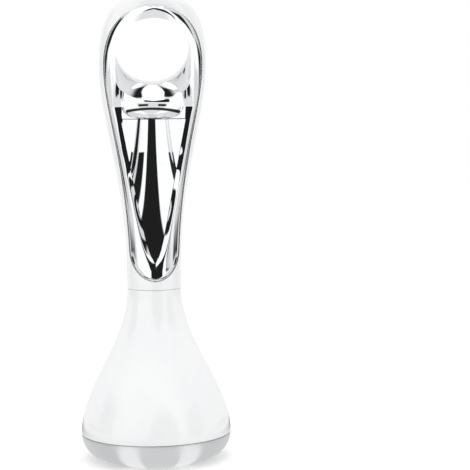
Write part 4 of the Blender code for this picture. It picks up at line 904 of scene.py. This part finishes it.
def lacquered_board():
    made, tree, place = new_material("lacquered_board")
    x, _, z = split(tree, place)
    lanes = x.math("FRACT", x * 900.0)
    rows = x.math("FRACT", z * 420.0 + 0.25)
    tracks = lanes.smoothstep(0.62, 0.68) * (1 - lanes.smoothstep(0.86, 0.92)) * rows.smoothstep(0.15, 0.2)
    mottle = noise(tree, place, 500.0, 4.0)
    green = blend_colours(tree, mottle, (0.03, 0.17, 0.08), (0.05, 0.24, 0.11))
    colour = blend_colours(tree, tracks, green, (0.11, 0.36, 0.14))
    finish_material(tree, Base_Color=colour, Roughness=0.3 + mottle * 0.1, Coat_Weight=0.4,
                    Normal=bump(tree, tracks, 0.4, 0.00004))
    return made


WRAP_FOOT, WRAP_TOP = (0.0144, 0.0145), (0.0577, 0.0578)
WRAP_BAND_FOOT, WRAP_BAND_HEAD = (0.0462, 0.0464), (0.0574, 0.0576)


def cell_wrapper():
    """A plain wrapper with a lighter band near its upper end."""
    made, tree, place = new_material("cell_wrapper")
    z = split(tree, place)[2]
    band = z.smoothstep(*WRAP_BAND_FOOT) * (1 - z.smoothstep(*WRAP_BAND_HEAD))
    metal = z.smoothstep(*WRAP_TOP) + (1 - z.smoothstep(*WRAP_FOOT))
    film = noise(tree, place, 300.0, 3.0)
    body = blend_colours(tree, film, (0.06, 0.09, 0.13), (0.09, 0.12, 0.17))
    colour = blend_colours(tree, band, body, (0.58, 0.42, 0.16))
    colour = blend_colours(tree, metal, colour, (0.66, 0.67, 0.68))
    finish_material(tree, Base_Color=colour, Metallic=metal, Roughness=0.28 + film * 0.1,
                    Normal=bump(tree, film, 0.05, 0.00005))
    return made


recipes = {
    "grey": moulded("grey_moulding", (0.26, 0.27, 0.29), (0.34, 0.35, 0.37), 0.42),
    "black": moulded("black_moulding", (0.018, 0.018, 0.02), (0.035, 0.035, 0.038), 0.38),
    "rubber": moulded("seal_rubber", (0.02, 0.02, 0.021), (0.04, 0.04, 0.041), 0.6, 2200.0),
    "steel": worked_metal("bright_steel", (0.50, 0.50, 0.51), (0.66, 0.66, 0.68), 0.2),
    "spring": worked_metal("spring_steel", (0.42, 0.42, 0.43), (0.60, 0.60, 0.62), 0.22),
    "brass": worked_metal("plain_brass", (0.52, 0.36, 0.13), (0.80, 0.60, 0.27), 0.22),
    "can": worked_metal("drawn_can", (0.55, 0.55, 0.56), (0.70, 0.70, 0.71), 0.18, (60.0, 60.0, 5200.0)),
    "board": lacquered_board(),
    "cell": cell_wrapper(),
    "red": moulded("red_wire_sleeve", (0.50, 0.03, 0.03), (0.62, 0.05, 0.04), 0.35),
    "blue": moulded("blue_wire_sleeve", (0.03, 0.08, 0.38), (0.05, 0.12, 0.5), 0.35),
    "dark_wire": moulded("dark_wire_sleeve", (0.02, 0.02, 0.02), (0.04, 0.04, 0.04), 0.35),
}
print(len(recipes), "inner recipes")

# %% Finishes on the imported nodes
finish_of = {
    "grey": ("battery_chassis", "plate_carrier", "switch_plunger"),
    "black": ("switch_body", "driver_chip", "flyback_diode", "motor_end_cap"),
    "rubber": ("base_seal_ring",),
    "steel": ("key_pivot_pin", "board_screw_1", "board_screw_2", "chassis_screw_1", "chassis_screw_2",
              "chassis_screw_3", "motor_shaft", "motor_strap", "strap_screw_1", "strap_screw_2"),
    "spring": ("negative_spring",),
    "brass": ("positive_contact", "negative_leaf", "eccentric_weight", "contact_plate"),
    "can": ("motor_can",),
    "board": ("switch_board",),
    "cell": ("battery_cell",),
    "red": ("positive_wire",),
    "blue": ("motor_wire",),
    "dark_wire": ("negative_wire",),
}
for recipe, names in finish_of.items():
    for name in names:
        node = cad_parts[name]
        node.data.materials.clear()
        node.data.materials.append(recipes[recipe])
print(sum(len(names) for names in finish_of.values()), "inner nodes have a finish")

# %% Finishes on the new pieces, and the body that each rides on
new_pieces = [
    (handle, "body", "handle_shell", "white_gloss", GLOSS),
    (trim, "body", "chrome_trim", "chrome", CHROME),
    (key, "key", "thumb_key", "chrome", CHROME),
    (head, "body", "head_shell", "white_gloss", GLOSS),
    (plate, "base", "massage_plate", "satin_steel", BRUSHED),
]
for piece, body, node, slot, finish in new_pieces:
    piece.data.materials.clear()
    piece.data.materials.append(finish)
    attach(piece, body)
    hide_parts(node)
print("new pieces:", [piece.name for piece, *_ in new_pieces])

# %% [markdown]
# ## The studio
# Polished metal is drawn by what it reflects. A product studio is white all round, with a dark opening
# where the camera stands, dark gaps beside the softboxes and in the ceiling, and dark cards on the table
# round the product. Those draw the black lines in the plating, and only reflected rays meet them. All other
# light is plain and white, so colours render about as they are written. What the camera sees straight behind
# the object is white, and so is the pale floor, which keeps the object's soft shadow.

# %% The room that polished metal reflects
DARK, CEILING, PALE, SHADE, REAR, WHITE = 0.015, 0.75, 0.80, 0.86, 0.90, 1.16

# Directions in degrees: compass from straight in front, + to the camera's right, and rise from level.
REAR_FROM, REAR_TO = 80, 150
BOX_RISE = (-6, -4)
BOX_EDGE_LEFT, BOX_EDGE_RIGHT = 74, 47
LOW_BOX_RISE, LOW_BOX_EDGE, LOW_BOX_GROWTH = (-18, -14), 58, 19
GAP_RISE, GAP_WIDTH_LEFT, GAP_WIDTH_RIGHT = (-8, 24), 30, 28
LINE_RISE, LINE_SIDE = (-10.5, -3), (84, 124)
LOW_LINE_RISE, LOW_LINE_SIDE = (-19, -12), (107, 131)
GREY_CARD_RISE, GREY_CARD_SIDE = (-25, -22), (26, 32)
DARK_RING_RISE, DARK_RING_SHARE = (-57, -44), 0.97
OPENING_COMPASS, OPENING_HALF_WIDTH = 9, 24
OPENING_TOP, OPENING_TOP_SOFT, OPENING_FOOT, OPENING_FOOT_SOFT = 2, 30, -20, 2
LEFT_CARD, RIGHT_CARD, SMALL_CARD_RISE = (-27, -7), (13, 30), (-37, -28.4)
CEILING_RISE = (57, 62)

# Slopes in the ceiling: sideways reach over height.
CEILING_MIDDLE, CEILING_PANEL, CEILING_FADE = 0.057, (0.082, 0.094), (0.15, 0.30)


def room_colour(tree, direction):
    """Brightness of the room by compass direction and height, both in degrees."""
    x, y, z = split(tree, direction)
    degrees = 180 / math.pi
    compass = x.math("ARCTAN2", x, -y) * degrees
    rise = x.math("ARCTAN2", z, x.math("SQRT", x * x + y * y)) * degrees
    side = compass.size()
    level = PALE + side.smoothstep(REAR_FROM, REAR_TO) * (REAR - PALE)
    # softboxes on both sides of the camera: wider just below its height, then narrower again
    above, low = rise.smoothstep(*BOX_RISE), rise.smoothstep(*LOW_BOX_RISE)
    right = compass.smoothstep(-1, 1)
    edge = BOX_EDGE_LEFT - right * (BOX_EDGE_LEFT - BOX_EDGE_RIGHT)
    beyond = (side - edge).smoothstep(-2, 2)
    beyond_low = (side - LOW_BOX_EDGE - low * LOW_BOX_GROWTH).smoothstep(-2, 2)
    level = level.towards(WHITE, above * (1 - beyond) + (1 - above) * (1 - beyond_low))
    # dark gaps beside them, and two dark lines round the sides
    gap_width = GAP_WIDTH_LEFT - right * (GAP_WIDTH_LEFT - GAP_WIDTH_RIGHT)
    gaps = rise.between(*GAP_RISE, 2.5) * (side - edge).between(0, gap_width, 2)
    line = rise.between(*LINE_RISE, 1.5) * side.between(*LINE_SIDE, 2)
    low_line = rise.between(*LOW_LINE_RISE, 1) * side.between(*LOW_LINE_SIDE, 2)
    dark = gaps.largest(line.largest(low_line))
    # a light grey card low in front of the product, and a dark ring on the table round its foot
    grey_card = (1 - rise.smoothstep(*GREY_CARD_RISE)) * (1 - side.smoothstep(*GREY_CARD_SIDE))
    level = level.towards(SHADE, grey_card)
    level = level - rise.between(*DARK_RING_RISE, 2) * level * DARK_RING_SHARE
    level = level * (1 - dark) + DARK * dark
    # the ceiling: a white panel that runs front to back, a dark gap on each side of it, and light beyond
    aside = (x / z.largest(0.1) - CEILING_MIDDLE).size()
    ceiling = DARK + aside.smoothstep(*CEILING_FADE) * (CEILING - DARK)
    ceiling = ceiling.towards(WHITE, 1 - aside.smoothstep(*CEILING_PANEL))
    level = level.towards(ceiling, rise.smoothstep(*CEILING_RISE))
    # the opening where the camera stands, and two small dark cards under it
    centre = (compass - OPENING_COMPASS) / OPENING_HALF_WIDTH
    lift = (rise - OPENING_TOP).largest(0.0) / OPENING_TOP_SOFT
    lift = lift.largest((OPENING_FOOT - rise) / OPENING_FOOT_SOFT)
    opening = 1 - x.math("SQRT", centre * centre + lift * lift).smoothstep(0.95, 1.05)
    cards = compass.between(*LEFT_CARD, 1.5).largest(compass.between(*RIGHT_CARD, 1.5))
    opening = opening.largest(cards * rise.between(*SMALL_CARD_RISE, 0.5))
    return level * (1 - opening) + DARK * opening


print("reflected room: brightness from", DARK, "to", WHITE)

# %% World
WORLD_LEVEL = 0.98


def make_world():
    """The room for reflected rays, and plain white for all others."""
    world = bpy.data.worlds.new("studio")
    bpy.context.scene.world = world
    world.use_nodes = True
    tree = world.node_tree
    tree.nodes.clear()
    direction = add_node(tree, "ShaderNodeTexCoord", out="Generated")
    reflected = add_node(tree, "ShaderNodeLightPath", out="Is Glossy Ray")
    room = room_colour(tree, direction)
    strength = room * reflected + (1 - reflected) * WORLD_LEVEL
    seen = reflected.output("Is Camera Ray").largest(reflected.output("Is Transmission Ray"))
    shader = add_node(tree, "ShaderNodeBackground", None,
                      {"Color": (1, 1, 1), "Strength": strength * (1 - seen) + seen})
    add_node(tree, "ShaderNodeOutputWorld", None, {"Surface": shader})
    return world


world = make_world()
print("world:", world.name)

# %% Floor
EYE = (0, -0.01, 0.11)
FLOOR_HALF = 3.0
FLOOR_DROP = 0.05 * MM
FLOOR_LIFT = 0.25


def make_floor():
    """A wide plain floor, pale, with the room's cards only in what polished metal reflects."""
    mesh = bpy.data.meshes.new("floor")
    square = FLOOR_HALF * np.array([[-1, -1, 0], [1, -1, 0], [1, 1, 0], [-1, 1, 0]])
    corners = square - [0, 0, FLOOR_DROP]
    mesh.from_pydata(corners, [], [(0, 1, 2, 3)])
    made = bpy.data.objects.new("floor", mesh)
    bpy.context.scene.collection.objects.link(made)
    finish, tree, place = new_material("studio_floor")
    grain = noise(tree, place, 8.0, 2.0)
    pale = add_node(tree, "ShaderNodeBsdfDiffuse", None,
                    {"Color": blend_colours(tree, grain, (0.90, 0.90, 0.90), (0.91, 0.91, 0.91))})
    from_object = add_node(tree, "ShaderNodeVectorMath", {"operation": "SUBTRACT"}, {0: place, 1: EYE})
    reflected = add_node(tree, "ShaderNodeLightPath", out="Is Glossy Ray")
    room = add_node(tree, "ShaderNodeEmission", None,
                    {"Color": (1, 1, 1), "Strength": room_colour(tree, from_object)})
    lift = add_node(tree, "ShaderNodeEmission", None,
                    {"Color": (1, 1, 1), "Strength": reflected.output("Is Camera Ray") * FLOOR_LIFT})
    seen = add_node(tree, "ShaderNodeAddShader", None, {0: pale, 1: lift})
    both = add_node(tree, "ShaderNodeMixShader", None, {0: reflected, 1: seen, 2: room})
    add_node(tree, "ShaderNodeOutputMaterial", None, {"Surface": both})
    made.data.materials.append(finish)
    return made


floor = make_floor()
print("floor:", floor.name)

# %% Lamps
def softbox(name, place, target, width, height, power):
    """A large soft lamp, aimed at a point."""
    lamp = bpy.data.lights.new(name, "AREA")
    lamp.shape = "RECTANGLE"
    lamp.size, lamp.size_y, lamp.energy = width, height, power
    made = bpy.data.objects.new(name, lamp)
    made.location = place
    made.rotation_euler = (Vector(target) - Vector(place)).to_track_quat("-Z", "Y").to_euler()
    bpy.context.scene.collection.objects.link(made)
    return made


top_lamp = softbox("top_softbox", (0, -0.1, 0.9), (0, 0, 0.08), 0.7, 0.7, 1.2)
print("lamp:", top_lamp.name)

# %% [markdown]
# ## The camera
# The photograph looks at the plated front from a little above and a little to the left, through a longish
# lens, with the object left of the middle. The camera is set by its place, its aim and a slight roll.

# %% Camera
CAMERA_RANGE = 493.3 * MM
CAMERA_HEIGHT = 112.6 * MM
CAMERA_AZIMUTH = math.radians(-3.0)
CAMERA_YAW = math.radians(-3.41)
CAMERA_PITCH = math.radians(-3.76)
CAMERA_ROLL = math.radians(-0.65)
FOCAL_PIXELS = 1370.0
IMAGE_PIXELS = 470.0

lens = bpy.data.cameras.new("camera")
lens.sensor_width = 36.0
lens.sensor_fit = "HORIZONTAL"
lens.lens = lens.sensor_width * FOCAL_PIXELS / IMAGE_PIXELS
lens.clip_start, lens.clip_end = 0.01, 20.0
camera = bpy.data.objects.new("camera", lens)
bpy.context.scene.collection.objects.link(camera)
bpy.context.scene.camera = camera
ahead = Vector((-math.sin(CAMERA_YAW) * math.cos(CAMERA_PITCH), math.cos(CAMERA_YAW) * math.cos(CAMERA_PITCH),
                math.sin(CAMERA_PITCH)))
level = Vector((math.cos(CAMERA_YAW), math.sin(CAMERA_YAW), 0))
up = level.cross(ahead)
right = math.cos(CAMERA_ROLL) * level + math.sin(CAMERA_ROLL) * up
up = right.cross(ahead)
stand = Matrix((right, up, -ahead)).transposed().to_4x4()
stand.translation = (0, -CAMERA_RANGE, CAMERA_HEIGHT)
camera.matrix_world = Matrix.Rotation(CAMERA_AZIMUTH, 4, "Z") @ stand
print("camera at", [round(v / MM, 1) for v in camera.matrix_world.translation])

# %% Colour management
bpy.context.scene.view_settings.view_transform = "Standard"
print("view transform:", bpy.context.scene.view_settings.view_transform)
